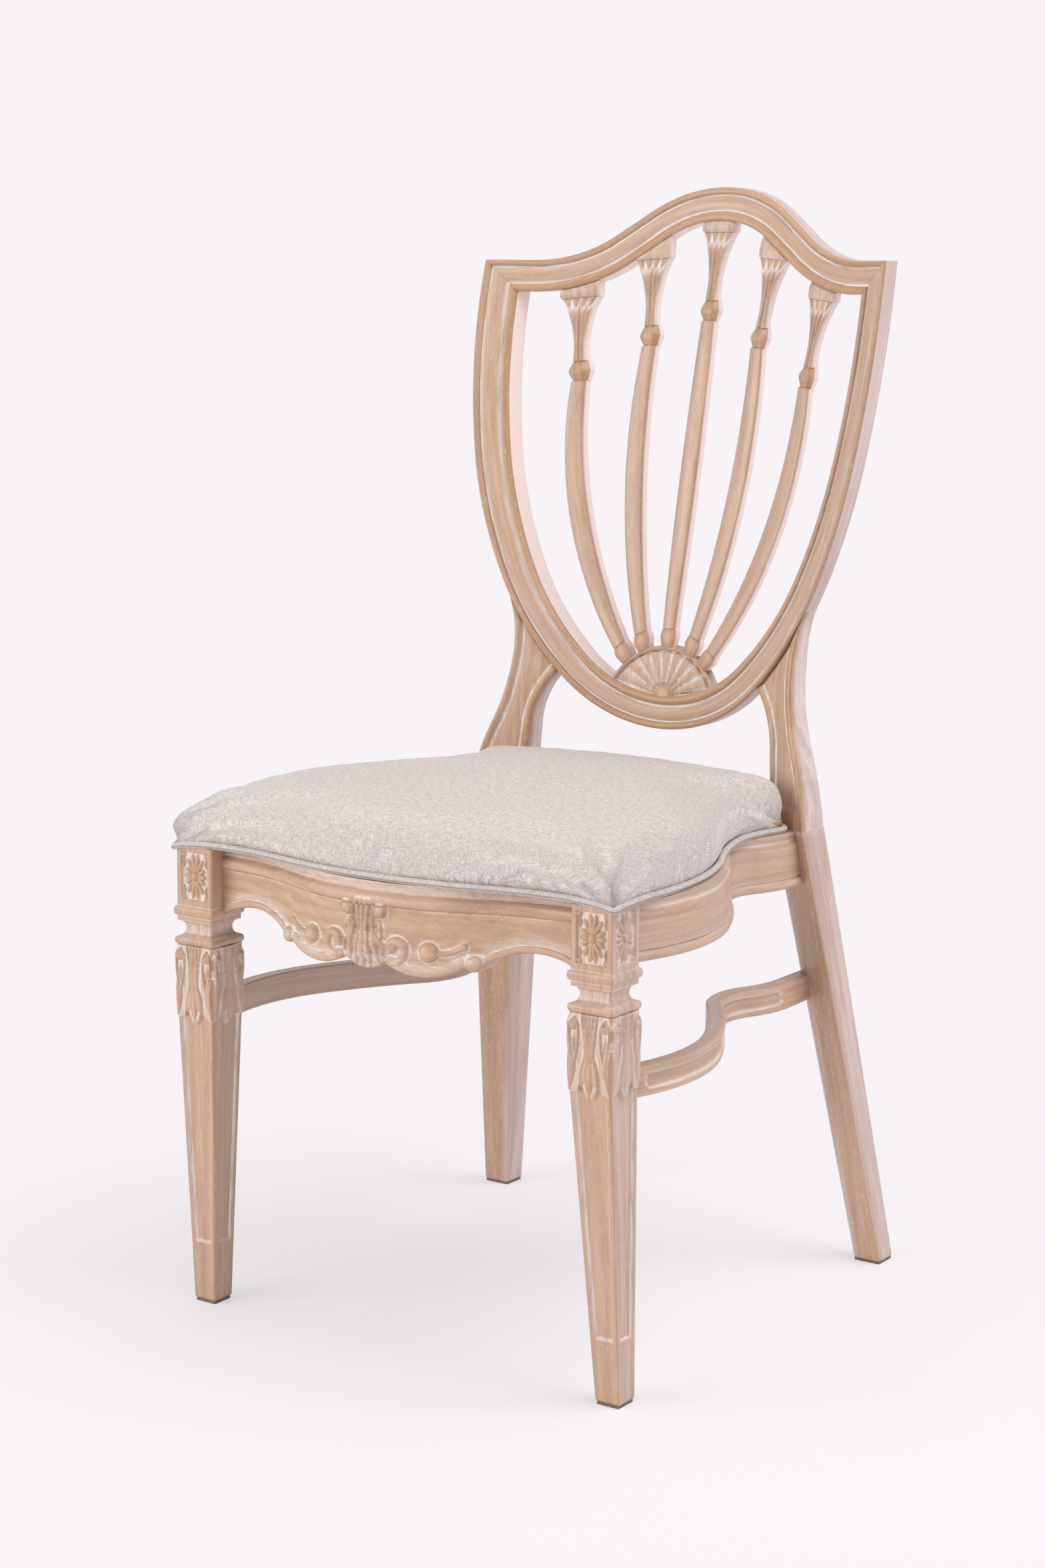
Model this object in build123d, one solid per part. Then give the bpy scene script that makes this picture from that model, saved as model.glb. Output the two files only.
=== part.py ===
"""Shield-back dining chair with an upholstered seat, as separate pieces.

Millimetres, +Z up, +Y towards the back, +X to the right of someone facing the chair.
Depths (y) are measured from the front face of the front feet, and the finished chair
is then moved so that its box is centred on x = y = 0 and it stands on z = 0.
"""
import os
from math import asin, atan2, cos, degrees, hypot, radians, sin, sqrt, tan

from build123d import *

# Heights above the floor
GLIDE_THICKNESS = 3.0
SEAT_FRAME_TOP = 417.0
SEAM_HEIGHT = 418.0
SHIELD_BOTTOM = 489.0
BEND_HEIGHT = 601.4
CREST_HEIGHT = 989.5
EAR_FALL = 68.0
EAR_HEIGHT = CREST_HEIGHT - EAR_FALL

# Back: one plate, curved in plan, raked above the bend and nearly upright below it
RAKE = 12.0
BEND_DEPTH = 420.6
BACK_RADIUS = 378.0
BACK_THICKNESS = 23.0
LOWER_BEND_RADIUS = 900.0
POST_SET_BACK = 3.0
POST_DEPTH = 30.0
POST_REAR_BEND_RADIUS = 550.0

# Shield ring, front view (x, z)
SHIELD_HALF_WIDTH = 214.5
RING_WIDTH = 31.0
SHIELD_SIDE = [(103.0, 531.0), (169.2, 626.0), (204.2, 742.3)]
CREST_SLOPE_SHARE = 0.83
CREST_CROWN_SHARE = 0.516
EAR_FLAT = 39.5

# Posts below the shield, front view
POST_OUTER_FOOT = 182.5
POST_INNER_FOOT = 137.0
POST_OUTER_EDGE = [(166.4, 485.8), (152.1, 548.1), (167.0, 622.0)]
POST_INNER_EDGE = [(131.7, 486.3), (108.6, 538.0)]
POST_OUTER_HEADING = 95.0
POST_INNER_HEADING = 94.0

# Fan boss and splats, front view
FAN_RADIUS = 62.0
FAN_RISE = 77.4
FAN_SET_BACK = 2.0
SPLAT_SET_BACK = 1.0
SPLAT_DEPTH = 15.0
SHAFT_TOP_WIDTH = 12.5
SHAFT_WAIST_WIDTH = 16.5
SHAFT_FOOT_WIDTH = 10.0
KNOP_HEIGHT = 19.0
KNOP_WIDTH = 19.0
NECK_WIDTH = 11.4
CAPITAL_WIDTH = 34.5
CAPITAL_BAND = 13.0
BAND_LIP = 1.0
FLARE_LIFT = 8.0
FLARE_SWELL = 2.2
# Each splat: where its capital meets the crest (x), its knop (x, fall below the crest),
# and its waist and foot (x, height above the bottom of the shield)
SPLATS = {
    "centre": {"top": 0.0, "knop": (0.0, 92.5), "waist": (0.0, 231.0), "foot": (0.0, 67.0)},
    "inner": {"top": 66.5, "knop": (58.7, 91.3), "waist": (57.3, 237.8), "foot": (22.5, 63.0)},
    "outer": {"top": 132.0, "knop": (122.5, 88.9), "waist": (116.2, 238.6), "foot": (35.0, 53.0)},
}

# Front legs: square, tapered on the front and inner faces
LEG_BLOCK = 40.0
LEG_OUTER = 226.0
LEG_FRONT = -18.6
FRONT_FOOT = 23.4
BLOCK_BOTTOM = 364.0
UPPER_TORUS_OVERHANG = 2.4
LOWER_TORUS_OVERHANG = 2.9
UPPER_TORUS = 8.6
NECK_STEP = 4.8
SCOTIA = 13.4
SCOTIA_DEPTH = 4.5
NECK_INSET = 1.0
LOWER_TORUS = 7.8
CAPITAL_HEIGHT = 62.0
CAPITAL_OVERHANG = 1.4

# Rear legs
REAR_FOOT_OUTER = 225.6
REAR_FOOT_FRONT = 446.7
REAR_FOOT_WIDTH = 28.0
REAR_FOOT_DEPTH = 26.0

# Seat frame, plan (x, y)
APRON_THICKNESS = 20.0
SIDE_APRON_HEIGHT = 50.0
REAR_APRON_HEIGHT = 50.0
REAR_APRON_LEAD = 2.3
REAR_APRON_TENON = 9.0
FRONT_APRON_SET_BACK = 15.7
FRONT_APRON_BOW = 42.0
SIDE_APRON_SET_IN = 3.5
SIDE_APRON_TOE_OUT = 29.5
SIDE_APRON_WAVE_SHARES = [0.4155, 0.6745, 0.841]
SIDE_APRON_WAVES = [17.5, -21.5, -18.8]
SIDE_APRON_END_INSET = 12.2
SIDE_APRON_END_LEAD = -4.0
APRON_END_DROP = 60.0
APRON_ARCH_DROP = 48.5
APRON_SCROLL_DROP = 67.0
APRON_LOBE_DROP = 75.0
APRON_NOTCH_DROP = 66.0
APRON_PENDANT_DROP = 73.0
APRON_ARCH_X = 150.0
APRON_SCROLL_X = 97.0
APRON_LOBE_X = 48.0
APRON_NOTCH_X = 21.0

# Side stretchers follow the side aprons
STRETCHER_TOP = 279.5
STRETCHER_HEIGHT = 25.5
STRETCHER_THICKNESS = 15.0
STRETCHER_INSET = 2.0

RAIL_TAIL = 60.0

# Joinery
DOWEL_RADIUS = 4.0
DOWEL_LENGTH = 30.0
DOWEL_SPACING = 24.0
SPLAT_DOWEL_RADIUS = 2.5
SPLAT_DOWEL_LENGTH = 22.0
BOLT_RADIUS = 4.0
BOLT_LENGTH = 70.0
SEAM_BOLT_SHARES = (0.3, 0.7)
SEAM_BOLT_DEPTH_SHARE = 0.72
POST_DOWEL_SHARES = (0.18, 0.5)
POST_DOWEL_LENGTH = 22.0
HOLE_CLEARANCE = 0.1
HOLE_END_SPARE = 1.0
SLICE_WIDTH = 0.1
CORNER_BLOCK_HEIGHT = 32.0
CORNER_BLOCK_SHARE = 0.5
BLOCK_END_SHARE = 0.05
REAR_BLOCK_REACH = 55.0
SCREW_RADIUS = 2.3
SCREW_HEAD_RADIUS = 4.6
SCREW_HEAD = 3.0
SCREW_BITE = 7.0
SCREW_EDGE = 13.0
GLIDE_INSET = 1.2
GLIDE_PIN_RADIUS = 2.0
GLIDE_PIN_LENGTH = 16.0

# Seat pad, plan (x, y), and its section: inset of the side at each height
BOARD_THICKNESS = 9.0
# Pad corners: (in from the legs' outer faces, back from their front faces), then
# (in from the posts' outer edges, forward of the seams)
PAD_FRONT_EDGE = [(124.0, -7.9), (21.0, 5.6), (5.0, 18.1)]
PAD_REAR_EDGE = [(-12.2, 156.3), (17.6, 82.1), (14.5, 13.6)]
PAD_REAR_CORNER = 18.0
PAD_FRONT_SET_BACK = 4.9
PAD_BACK_REACH = 7.7
PAD_SECTION = [
    (0.0, 5.0), (7.0, 4.6), (14.0, 1.8), (22.0, 0.0), (34.0, 1.2), (44.0, 4.5), (57.0, 12.0),
]
PAD_CROWN = 56.0
PAD_CROWN_RADIUS = 2000.0
COVER_THICKNESS = 1.5
FOAM_CLEARANCE = 0.2
PIPING_RADIUS = 3.0
DUST_COVER_THICKNESS = 0.8
DUST_COVER_MARGIN = 8.0

# Extents that only have to be larger than the chair
REACH = 700.0
PLATE_HALF_WIDTH = 250.0
PLATE_RUN_ON = 45.0
SPARE_DEPTH = 80.0

SIDES = {"right": 1, "left": -1}
parts = {}
cuts = {}


def add(name, shape):
    """Registers a piece under its node name."""
    parts[name] = shape


def cut(name, tool):
    """Queues a hole to be cut from a registered piece."""
    cuts.setdefault(name, []).append(tool)


def on_side(shape, side):
    """The right-hand shape, mirrored for the left side."""
    return shape if SIDES[side] > 0 else mirror(shape, about=Plane.YZ)


def arc_chain(start, heading, points):
    """Tangent arcs from start, leaving at a heading in degrees, through each point."""
    edges = []
    here = Vector(*start)
    direction = Vector(cos(radians(heading)), sin(radians(heading)))
    for point in points:
        edge = TangentArc(here, Vector(*point), tangent=direction)
        edges.append(edge)
        here = edge @ 1
        direction = edge % 1
    return edges


def mirrored(edges):
    """The edges together with their mirror images in x."""
    return edges + [mirror(edge, about=Plane.YZ) for edge in edges]


def front_prism(face):
    """A front-view outline (x, z) carried through the whole depth."""
    return extrude(Plane.XZ * face, amount=REACH, both=True)


def plan_prism(face, bottom, top):
    """A plan outline (x, y) between two heights."""
    return extrude(Pos(0, 0, bottom) * face, amount=top - bottom)


def rod(start, end, radius):
    """A round bar between two points."""
    axis = Vector(*end) - Vector(*start)
    return extrude(Plane(origin=start, z_dir=axis) * Circle(radius), amount=axis.length)


def bore(start, end, radius):
    """A hole for a round bar, a little wider and deeper than the bar."""
    spare = (Vector(*end) - Vector(*start)).normalized() * HOLE_END_SPARE
    return rod(Vector(*start) - spare, Vector(*end) + spare, radius + HOLE_CLEARANCE)


def polygon(points):
    """A flat face through the points."""
    return make_face(Polyline(*points, close=True))


def biggest(shape):
    """The largest solid of a cut shape."""
    return max(shape.solids(), key=lambda solid: solid.volume)


# Back surfaces

def side_line(offset, bend):
    """Side view of a back surface, curved below and raked above, as a path and its foot plane."""
    rake = radians(RAKE)
    bend_y = BEND_DEPTH + offset * cos(rake)
    bend_z = BEND_HEIGHT - offset * sin(rake)
    centre_y = bend_y + bend * cos(rake)
    centre_z = bend_z - bend * sin(rake)

    def on_arc(angle):
        return Vector(0, centre_y - bend * cos(angle), centre_z + bend * sin(angle))

    low = asin((SEAM_HEIGHT - PLATE_RUN_ON - centre_z) / bend)
    rise = CREST_HEIGHT + PLATE_RUN_ON - bend_z
    top = Vector(0, bend_y + rise * tan(rake), bend_z + rise)
    curve = ThreePointArc(on_arc(low), on_arc((low + rake) / 2), on_arc(rake))
    path = Wire([curve, Line(on_arc(rake), top)])
    foot = Plane(origin=on_arc(low), x_dir=(1, 0, 0), z_dir=(0, sin(low), cos(low)))
    return path, foot


def plate(front, back, offset=0.0, bend=LOWER_BEND_RADIUS):
    """Curved plate between two depths behind a back surface."""
    path, foot = side_line(offset, bend)
    radius = BACK_RADIUS + offset

    def arc(depth):
        end_y = sqrt((radius + depth) ** 2 - PLATE_HALF_WIDTH ** 2) - radius
        return ThreePointArc((-PLATE_HALF_WIDTH, end_y), (0, depth), (PLATE_HALF_WIDTH, end_y))

    near = arc(front)
    far = arc(back)
    face = make_face([near, Line(near @ 1, far @ 1), far, Line(far @ 0, near @ 0)])
    return sweep(foot * face, path=path)


def surface_depth(height, offset=0.0, bend=LOWER_BEND_RADIUS):
    """Depth of a back surface on the centre plane at a height."""
    rake = radians(RAKE)
    bend_y = BEND_DEPTH + offset * cos(rake)
    bend_z = BEND_HEIGHT - offset * sin(rake)
    if height >= bend_z:
        return bend_y + (height - bend_z) * tan(rake)
    centre_y = bend_y + bend * cos(rake)
    centre_z = bend_z - bend * sin(rake)
    return centre_y - sqrt(bend ** 2 - (height - centre_z) ** 2)


def back_point(x, z, depth):
    """Point of the back plate at a depth behind its front surface."""
    bow = sqrt((BACK_RADIUS + depth) ** 2 - x ** 2) - BACK_RADIUS
    return Vector(x, surface_depth(z) + bow / cos(radians(RAKE)), z)


# Shield ring: bow below the mitres at the ears, crest rail above them

def shield_outline():
    """Outer edge of the shield, as a face in front view."""
    side = arc_chain((0, SHIELD_BOTTOM), 0, SHIELD_SIDE + [(SHIELD_HALF_WIDTH, EAR_HEIGHT)])
    flat_end = SHIELD_HALF_WIDTH - EAR_FLAT
    rise = CREST_HEIGHT - EAR_HEIGHT
    slope = CREST_SLOPE_SHARE * 2 * atan2(rise, flat_end)
    radii = (flat_end * sin(slope) - rise * cos(slope)) / (1 - cos(slope))
    crown = radii * CREST_CROWN_SHARE
    hollow = radii - crown
    crown_end = (crown * sin(slope), CREST_HEIGHT - crown * (1 - cos(slope)))
    hollow_end = (flat_end - hollow * sin(slope), EAR_HEIGHT + hollow * (1 - cos(slope)))
    top = [
        Line((SHIELD_HALF_WIDTH, EAR_HEIGHT), (flat_end, EAR_HEIGHT)),
        TangentArc((flat_end, EAR_HEIGHT), hollow_end, tangent=(-1, 0)),
        Line(hollow_end, crown_end),
        TangentArc((0, CREST_HEIGHT), crown_end, tangent=(1, 0)),
    ]
    return make_face(mirrored(side + top))


SHIELD = shield_outline()
OPENING = offset(SHIELD, amount=-RING_WIDTH, kind=Kind.INTERSECTION)
SHIELD_PRISM = front_prism(SHIELD)
OPENING_PRISM = front_prism(OPENING)
EAR = Vector(SHIELD_HALF_WIDTH, EAR_HEIGHT)
INNER_EAR = max(OPENING.vertices(), key=lambda v: v.X - abs(v.Y - EAR_HEIGHT)).center()
INNER_EAR = Vector(INNER_EAR.X, INNER_EAR.Y)


def crest_region():
    """Everything above the two mitres, in front view."""
    along = (EAR - INNER_EAR).normalized() * RING_WIDTH
    out = EAR + along
    inside = INNER_EAR - along * 0.5
    high = CREST_HEIGHT + RING_WIDTH
    right = [(inside.X, inside.Y), (out.X, out.Y), (out.X, high)]
    left = [(-x, z) for x, z in reversed(right)]
    return front_prism(polygon(right + left))


def build_ring():
    ring = plate(0, BACK_THICKNESS) & SHIELD_PRISM
    ring -= OPENING_PRISM
    upper = crest_region()
    add("crest_rail", ring & upper)
    add("shield_bow", ring - upper)


def build_posts():
    outer = arc_chain((POST_OUTER_FOOT, SEAM_HEIGHT), POST_OUTER_HEADING, POST_OUTER_EDGE)
    inner = arc_chain((POST_INNER_FOOT, SEAM_HEIGHT), POST_INNER_HEADING, POST_INNER_EDGE)
    middle = POST_INNER_EDGE[-1][0], POST_OUTER_EDGE[-1][1]
    closing = [
        Line(outer[-1] @ 1, middle),
        Line(middle, inner[-1] @ 1),
        Line((POST_OUTER_FOOT, SEAM_HEIGHT), (POST_INNER_FOOT, SEAM_HEIGHT)),
    ]
    outline = front_prism(make_face(outer + inner + closing))
    front = plate(POST_SET_BACK, SPARE_DEPTH)
    rear = plate(-SPARE_DEPTH, 0, POST_DEPTH, POST_REAR_BEND_RADIUS)
    post = (front & outline) & rear
    post = biggest(post - SHIELD_PRISM)
    for side in SIDES:
        add(f"back_post_{side}", on_side(post, side))


# Fan boss and the five splats

def build_fan():
    disc = front_prism(Pos(0, SHIELD_BOTTOM + FAN_RISE - FAN_RADIUS) * Circle(FAN_RADIUS))
    fan = (plate(FAN_SET_BACK, SPLAT_DEPTH) & OPENING_PRISM) & disc
    add("fan_boss", fan)
    return disc


def unit(start, end):
    """Unit vector from one plan point to another."""
    length = hypot(end[0] - start[0], end[1] - start[1])
    return (end[0] - start[0]) / length, (end[1] - start[1]) / length


def crest_underside(x):
    """Height of the opening's upper edge at a distance from the centre."""
    column = Pos(x, CREST_HEIGHT) * Rectangle(SLICE_WIDTH, 2 * (CREST_HEIGHT - SHIELD_BOTTOM))
    return (OPENING & column).bounding_box().max.Y


def splat_points(top, knop, waist, foot):
    """A splat's stations in front view, tied to the crest and to the bottom of the shield."""
    height = crest_underside(top)
    return {
        "knop": (knop[0], height - knop[1]),
        "waist": (waist[0], SHIELD_BOTTOM + waist[1]),
        "foot": (foot[0], SHIELD_BOTTOM + foot[1]),
        "top": (top, height),
    }


def splat_outline(knop, waist, foot, top):
    """Front view of a splat: swelling shaft, six-sided knop, neck and flared capital."""
    axis = unit(knop, top)

    def station(distance, half, side):
        return (knop[0] + axis[0] * distance + side * axis[1] * half,
                knop[1] + axis[1] * distance - side * axis[0] * half)

    length = hypot(top[0] - knop[0], top[1] - knop[1])
    shaft = unit(foot, waist)
    edges = []
    ends = []
    for side in (1, -1):
        start = station(0, SHAFT_TOP_WIDTH / 2, side)
        half_foot = side * SHAFT_FOOT_WIDTH / 2
        low = (foot[0] + shaft[1] * half_foot, foot[1] - shaft[0] * half_foot)
        middle = (waist[0] + side * SHAFT_WAIST_WIDTH / 2, waist[1])
        knop_widest = station(KNOP_HEIGHT / 2, KNOP_WIDTH / 2, side)
        knop_top = station(KNOP_HEIGHT, NECK_WIDTH / 2, side)
        flare_height = (KNOP_HEIGHT + length - CAPITAL_BAND) / 2 + FLARE_LIFT
        flare_mid = station(flare_height, NECK_WIDTH / 2 + FLARE_SWELL, side)
        flare_end = station(length - CAPITAL_BAND, CAPITAL_WIDTH / 2 - BAND_LIP, side)
        corner = station(length + CAPITAL_BAND, CAPITAL_WIDTH / 2, side)
        edges += [
            ThreePointArc(low, middle, start),
            Line(start, knop_widest),
            Line(knop_widest, knop_top),
            ThreePointArc(knop_top, flare_mid, flare_end),
            Line(flare_end, corner),
        ]
        ends.append((low, corner))
    edges.append(Line(ends[0][0], ends[1][0]))
    edges.append(Line(ends[0][1], ends[1][1]))
    return make_face(edges)


def build_splats(disc):
    body = plate(SPLAT_SET_BACK, SPLAT_DEPTH) & OPENING_PRISM
    body -= disc
    depth = (SPLAT_SET_BACK + SPLAT_DEPTH) / 2
    dowels = []
    for kind, sizes in SPLATS.items():
        shape = splat_points(**sizes)
        splat = biggest(body & front_prism(splat_outline(**shape)))
        pegs = []
        for ends, centre in ((("foot", "waist"), splat_end(splat, low=True)),
                             (("knop", "top"), splat_end(splat, low=False))):
            way = unit(shape[ends[0]], shape[ends[1]])
            half = SPLAT_DOWEL_LENGTH / 2
            first = back_point(centre[0] - way[0] * half, centre[1] - way[1] * half, depth)
            last = back_point(centre[0] + way[0] * half, centre[1] + way[1] * half, depth)
            pegs.append((first, last))
        sides = ["right"] if kind == "centre" else list(SIDES)
        for side in sides:
            name = "splat_centre" if kind == "centre" else f"splat_{kind}_{side}"
            add(name, on_side(splat, side))
            for number, (first, last) in enumerate(pegs):
                dowels.append(on_side(rod(first, last, SPLAT_DOWEL_RADIUS), side))
                hole = on_side(bore(first, last, SPLAT_DOWEL_RADIUS), side)
                cut(name, hole)
                cut("fan_boss" if number == 0 else "crest_rail", hole)
    add("splat_dowels", dowels)


def splat_end(splat, low):
    """Front-view middle of a splat's bottom or top end face."""
    faces = splat.faces().sort_by(Axis.Z)
    end = faces[0] if low else faces[-1]
    centre = end.center(CenterOf.BOUNDING_BOX)
    return centre.X, centre.Z


# Legs

def taper(foot, top, height):
    """Upright view of a tapered shaft, from its (near, far) foot to its top at a height."""
    low = GLIDE_THICKNESS
    return polygon([(foot[0], low), (foot[1], low), (top[1], height), (top[0], height)])


def moulding(levels):
    """Profile through (half width, height, bulge) levels, straight where a bulge is 0."""
    edges = []
    for (x0, z0, bulge), (x1, z1, _) in zip(levels[:-1], levels[1:]):
        if bulge:
            edges.append(ThreePointArc((x0, z0), ((x0 + x1) / 2 + bulge, (z0 + z1) / 2), (x1, z1)))
        else:
            edges.append(Line((x0, z0), (x1, z1)))
    return edges


def front_leg():
    """Square block, mouldings, carved capital and tapered shaft of a right-hand front leg."""
    half = LEG_BLOCK / 2
    middle_x = LEG_OUTER - half
    middle_y = LEG_FRONT + half
    torus_top = BLOCK_BOTTOM
    torus_foot = torus_top - UPPER_TORUS
    step_foot = torus_foot - NECK_STEP
    scotia_foot = step_foot - SCOTIA
    lower_foot = scotia_foot - LOWER_TORUS
    capital_foot = lower_foot - CAPITAL_HEIGHT
    neck = half - NECK_INSET
    widest = half + CAPITAL_OVERHANG
    levels = [
        (0, SEAT_FRAME_TOP, 0),
        (half, SEAT_FRAME_TOP, 0),
        (half, torus_top, UPPER_TORUS_OVERHANG),
        (half, torus_foot, 0),
        (neck, step_foot, -SCOTIA_DEPTH),
        (neck, scotia_foot, LOWER_TORUS_OVERHANG),
        (neck, lower_foot, 0),
        (widest, lower_foot, 0),
        (widest, capital_foot, 0),
        (0, capital_foot, 0),
        (0, SEAT_FRAME_TOP, 0),
    ]
    right_half = make_face(moulding(levels))
    profile = right_half + mirror(right_half, about=Plane.YZ)
    across = Pos(middle_x, middle_y, 0) * extrude(Plane.XZ * profile, amount=LEG_BLOCK, both=True)
    along = Pos(middle_x, middle_y, 0) * extrude(Plane.YZ * profile, amount=LEG_BLOCK, both=True)
    upper = across & along
    inner = LEG_OUTER - LEG_BLOCK
    front_view = taper((LEG_OUTER - FRONT_FOOT, LEG_OUTER), (inner, LEG_OUTER), capital_foot)
    side_view = taper((0, FRONT_FOOT), (LEG_FRONT, LEG_FRONT + LEG_BLOCK), capital_foot)
    shaft = front_prism(front_view) & extrude(Plane.YZ * side_view, amount=REACH, both=True)
    return upper + shaft


def seam_corners():
    """Corners of the right rear leg at the seam: outer front, inner front, inner rear, outer rear."""
    corners = []
    surfaces = {
        "front": (surface_depth(SEAM_HEIGHT) + POST_SET_BACK, BACK_RADIUS + POST_SET_BACK),
        "rear": (surface_depth(SEAM_HEIGHT, POST_DEPTH, POST_REAR_BEND_RADIUS), BACK_RADIUS + POST_DEPTH),
    }
    for face, x in (("front", POST_OUTER_FOOT), ("front", POST_INNER_FOOT),
                    ("rear", POST_INNER_FOOT), ("rear", POST_OUTER_FOOT)):
        middle, radius = surfaces[face]
        corners.append((x, middle + sqrt(radius ** 2 - x ** 2) - radius))
    return corners


def rear_foot_corners():
    """Corners of the right rear foot, in the same order as at the seam."""
    inner = REAR_FOOT_OUTER - REAR_FOOT_WIDTH
    back = REAR_FOOT_FRONT + REAR_FOOT_DEPTH
    return [
        (REAR_FOOT_OUTER, REAR_FOOT_FRONT),
        (inner, REAR_FOOT_FRONT),
        (inner, back),
        (REAR_FOOT_OUTER, back),
    ]


def rear_leg():
    """Right-hand rear leg: splayed, from a square foot to the seam with the back post."""
    sections = [
        Pos(0, 0, GLIDE_THICKNESS) * polygon(rear_foot_corners()),
        Pos(0, 0, SEAM_HEIGHT) * polygon(seam_corners()),
    ]
    return loft(sections, ruled=True)


def rear_leg_front(height):
    """The front face of the right rear leg at a height, as two plan points, outer first."""
    share = (height - GLIDE_THICKNESS) / (SEAM_HEIGHT - GLIDE_THICKNESS)
    foot = rear_foot_corners()
    top = seam_corners()
    return [Vector(*a) + (Vector(*b) - Vector(*a)) * share for a, b in zip(foot[:2], top[:2])]


def glide(x, y, width, depth):
    """Foot glide: a plate under the foot with a pin up into the leg."""
    plan = Rectangle(width - 2 * GLIDE_INSET, depth - 2 * GLIDE_INSET)
    pad = Pos(x, y, 0) * extrude(plan, amount=GLIDE_THICKNESS)
    pin_foot = (x, y, GLIDE_THICKNESS)
    pin_tip = (x, y, GLIDE_THICKNESS + GLIDE_PIN_LENGTH)
    return pad + rod(pin_foot, pin_tip, GLIDE_PIN_RADIUS), bore(pin_foot, pin_tip, GLIDE_PIN_RADIUS)


def build_legs():
    feet = {
        "front": (LEG_OUTER - FRONT_FOOT / 2, FRONT_FOOT / 2, FRONT_FOOT, FRONT_FOOT),
        "rear": (REAR_FOOT_OUTER - REAR_FOOT_WIDTH / 2, REAR_FOOT_FRONT + REAR_FOOT_DEPTH / 2,
                 REAR_FOOT_WIDTH, REAR_FOOT_DEPTH),
    }
    legs = {"front": front_leg(), "rear": rear_leg()}
    for end, leg in legs.items():
        foot, hole = glide(*feet[end])
        for side in SIDES:
            add(f"{end}_leg_{side}", on_side(leg, side))
            add(f"{end}_glide_{side}", on_side(foot, side))
            cut(f"{end}_leg_{side}", on_side(hole, side))
    return legs


# Seat frame

FRONT_APRON_END = LEG_FRONT + FRONT_APRON_SET_BACK
LEG_INNER = LEG_OUTER - LEG_BLOCK
LEG_REAR = LEG_FRONT + LEG_BLOCK


def front_apron_band():
    """Plan of the bowed front apron: right half edges of its face and its back."""
    middle = FRONT_APRON_END - FRONT_APRON_BOW
    bands = []
    for shift in (0, APRON_THICKNESS):
        half_way = (LEG_INNER / 2, (middle + FRONT_APRON_END) / 2 + shift)
        bands.append(arc_chain((0, middle + shift), 0, [half_way, (LEG_INNER, FRONT_APRON_END + shift)]))
    return bands


def front_apron():
    """Bowed apron with arches beside the legs and a shaped middle."""
    face, rear = front_apron_band()
    end = Line(face[-1] @ 1, rear[-1] @ 1)
    lowest = SEAT_FRAME_TOP - APRON_LOBE_DROP - APRON_THICKNESS
    board = plan_prism(make_face(mirrored(face + rear + [end])), lowest, SEAT_FRAME_TOP)
    arch = (APRON_ARCH_X, SEAT_FRAME_TOP - APRON_ARCH_DROP)
    leg_end = (LEG_INNER, SEAT_FRAME_TOP - APRON_END_DROP)
    scroll = (APRON_SCROLL_X, SEAT_FRAME_TOP - APRON_SCROLL_DROP)
    lobe = (APRON_LOBE_X, SEAT_FRAME_TOP - APRON_LOBE_DROP)
    notch = (APRON_NOTCH_X, SEAT_FRAME_TOP - APRON_NOTCH_DROP)
    pendant = (0, SEAT_FRAME_TOP - APRON_PENDANT_DROP)
    lower = [
        ThreePointArc(leg_end, arch, scroll),
        ThreePointArc(scroll, lobe, notch),
        TangentArc(pendant, notch, tangent=(1, 0)),
    ]
    top = [
        Line(leg_end, (LEG_INNER, SEAT_FRAME_TOP)),
        Line((LEG_INNER, SEAT_FRAME_TOP), (0, SEAT_FRAME_TOP)),
    ]
    return board & front_prism(make_face(mirrored(lower + top)))


def left_of(direction):
    """Direction a quarter turn to the left, in plan."""
    return Vector(-direction.Y, direction.X)


def shifted(edges, inset):
    """A chain of tangent arcs moved to its left by an inset."""
    moved = []
    for edge in edges:
        start = edge @ 0 + left_of(edge % 0) * inset
        end = edge @ 1 + left_of(edge % 1) * inset
        moved.append(TangentArc(start, end, tangent=edge % 0))
    return moved


def side_edges():
    """Outer face line of the right-hand side apron, waving about the line between its legs."""
    start = Vector(LEG_OUTER - SIDE_APRON_SET_IN, LEG_REAR)
    corner = rear_leg_front(SEAT_FRAME_TOP - SIDE_APRON_HEIGHT / 2)[0]
    end = corner - Vector(SIDE_APRON_END_INSET, SIDE_APRON_END_LEAD)
    waves = zip(SIDE_APRON_WAVE_SHARES, SIDE_APRON_WAVES)
    nodes = [start + (end - start) * share + Vector(bulge, 0) for share, bulge in waves]
    heading = degrees(atan2(end.Y - start.Y, end.X - start.X)) - SIDE_APRON_TOE_OUT
    return arc_chain(start, heading, nodes + [end])


def side_rail(inset, thickness, bottom, top):
    """Serpentine rail whose ends run on into the legs."""
    near = shifted(side_edges(), inset)
    far = shifted(side_edges(), inset + thickness)
    lines = []
    for edges in (near, far):
        front = edges[0] @ 0 - (edges[0] % 0) * LEG_BLOCK / 2
        rear = edges[-1] @ 1 + (edges[-1] % 1) * RAIL_TAIL
        lines.append((front, rear))
    closing = [
        Line(lines[0][0], near[0] @ 0),
        Line(near[-1] @ 1, lines[0][1]),
        Line(lines[1][0], far[0] @ 0),
        Line(far[-1] @ 1, lines[1][1]),
        Line(lines[0][0], lines[1][0]),
        Line(lines[0][1], lines[1][1]),
    ]
    return plan_prism(make_face(near + far + closing), bottom, top)


def rear_apron_middle():
    """Depth of the rear apron's middle line, set from the rear legs' inner front corners."""
    return seam_corners()[1][1] - REAR_APRON_LEAD + APRON_THICKNESS / 2


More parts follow.
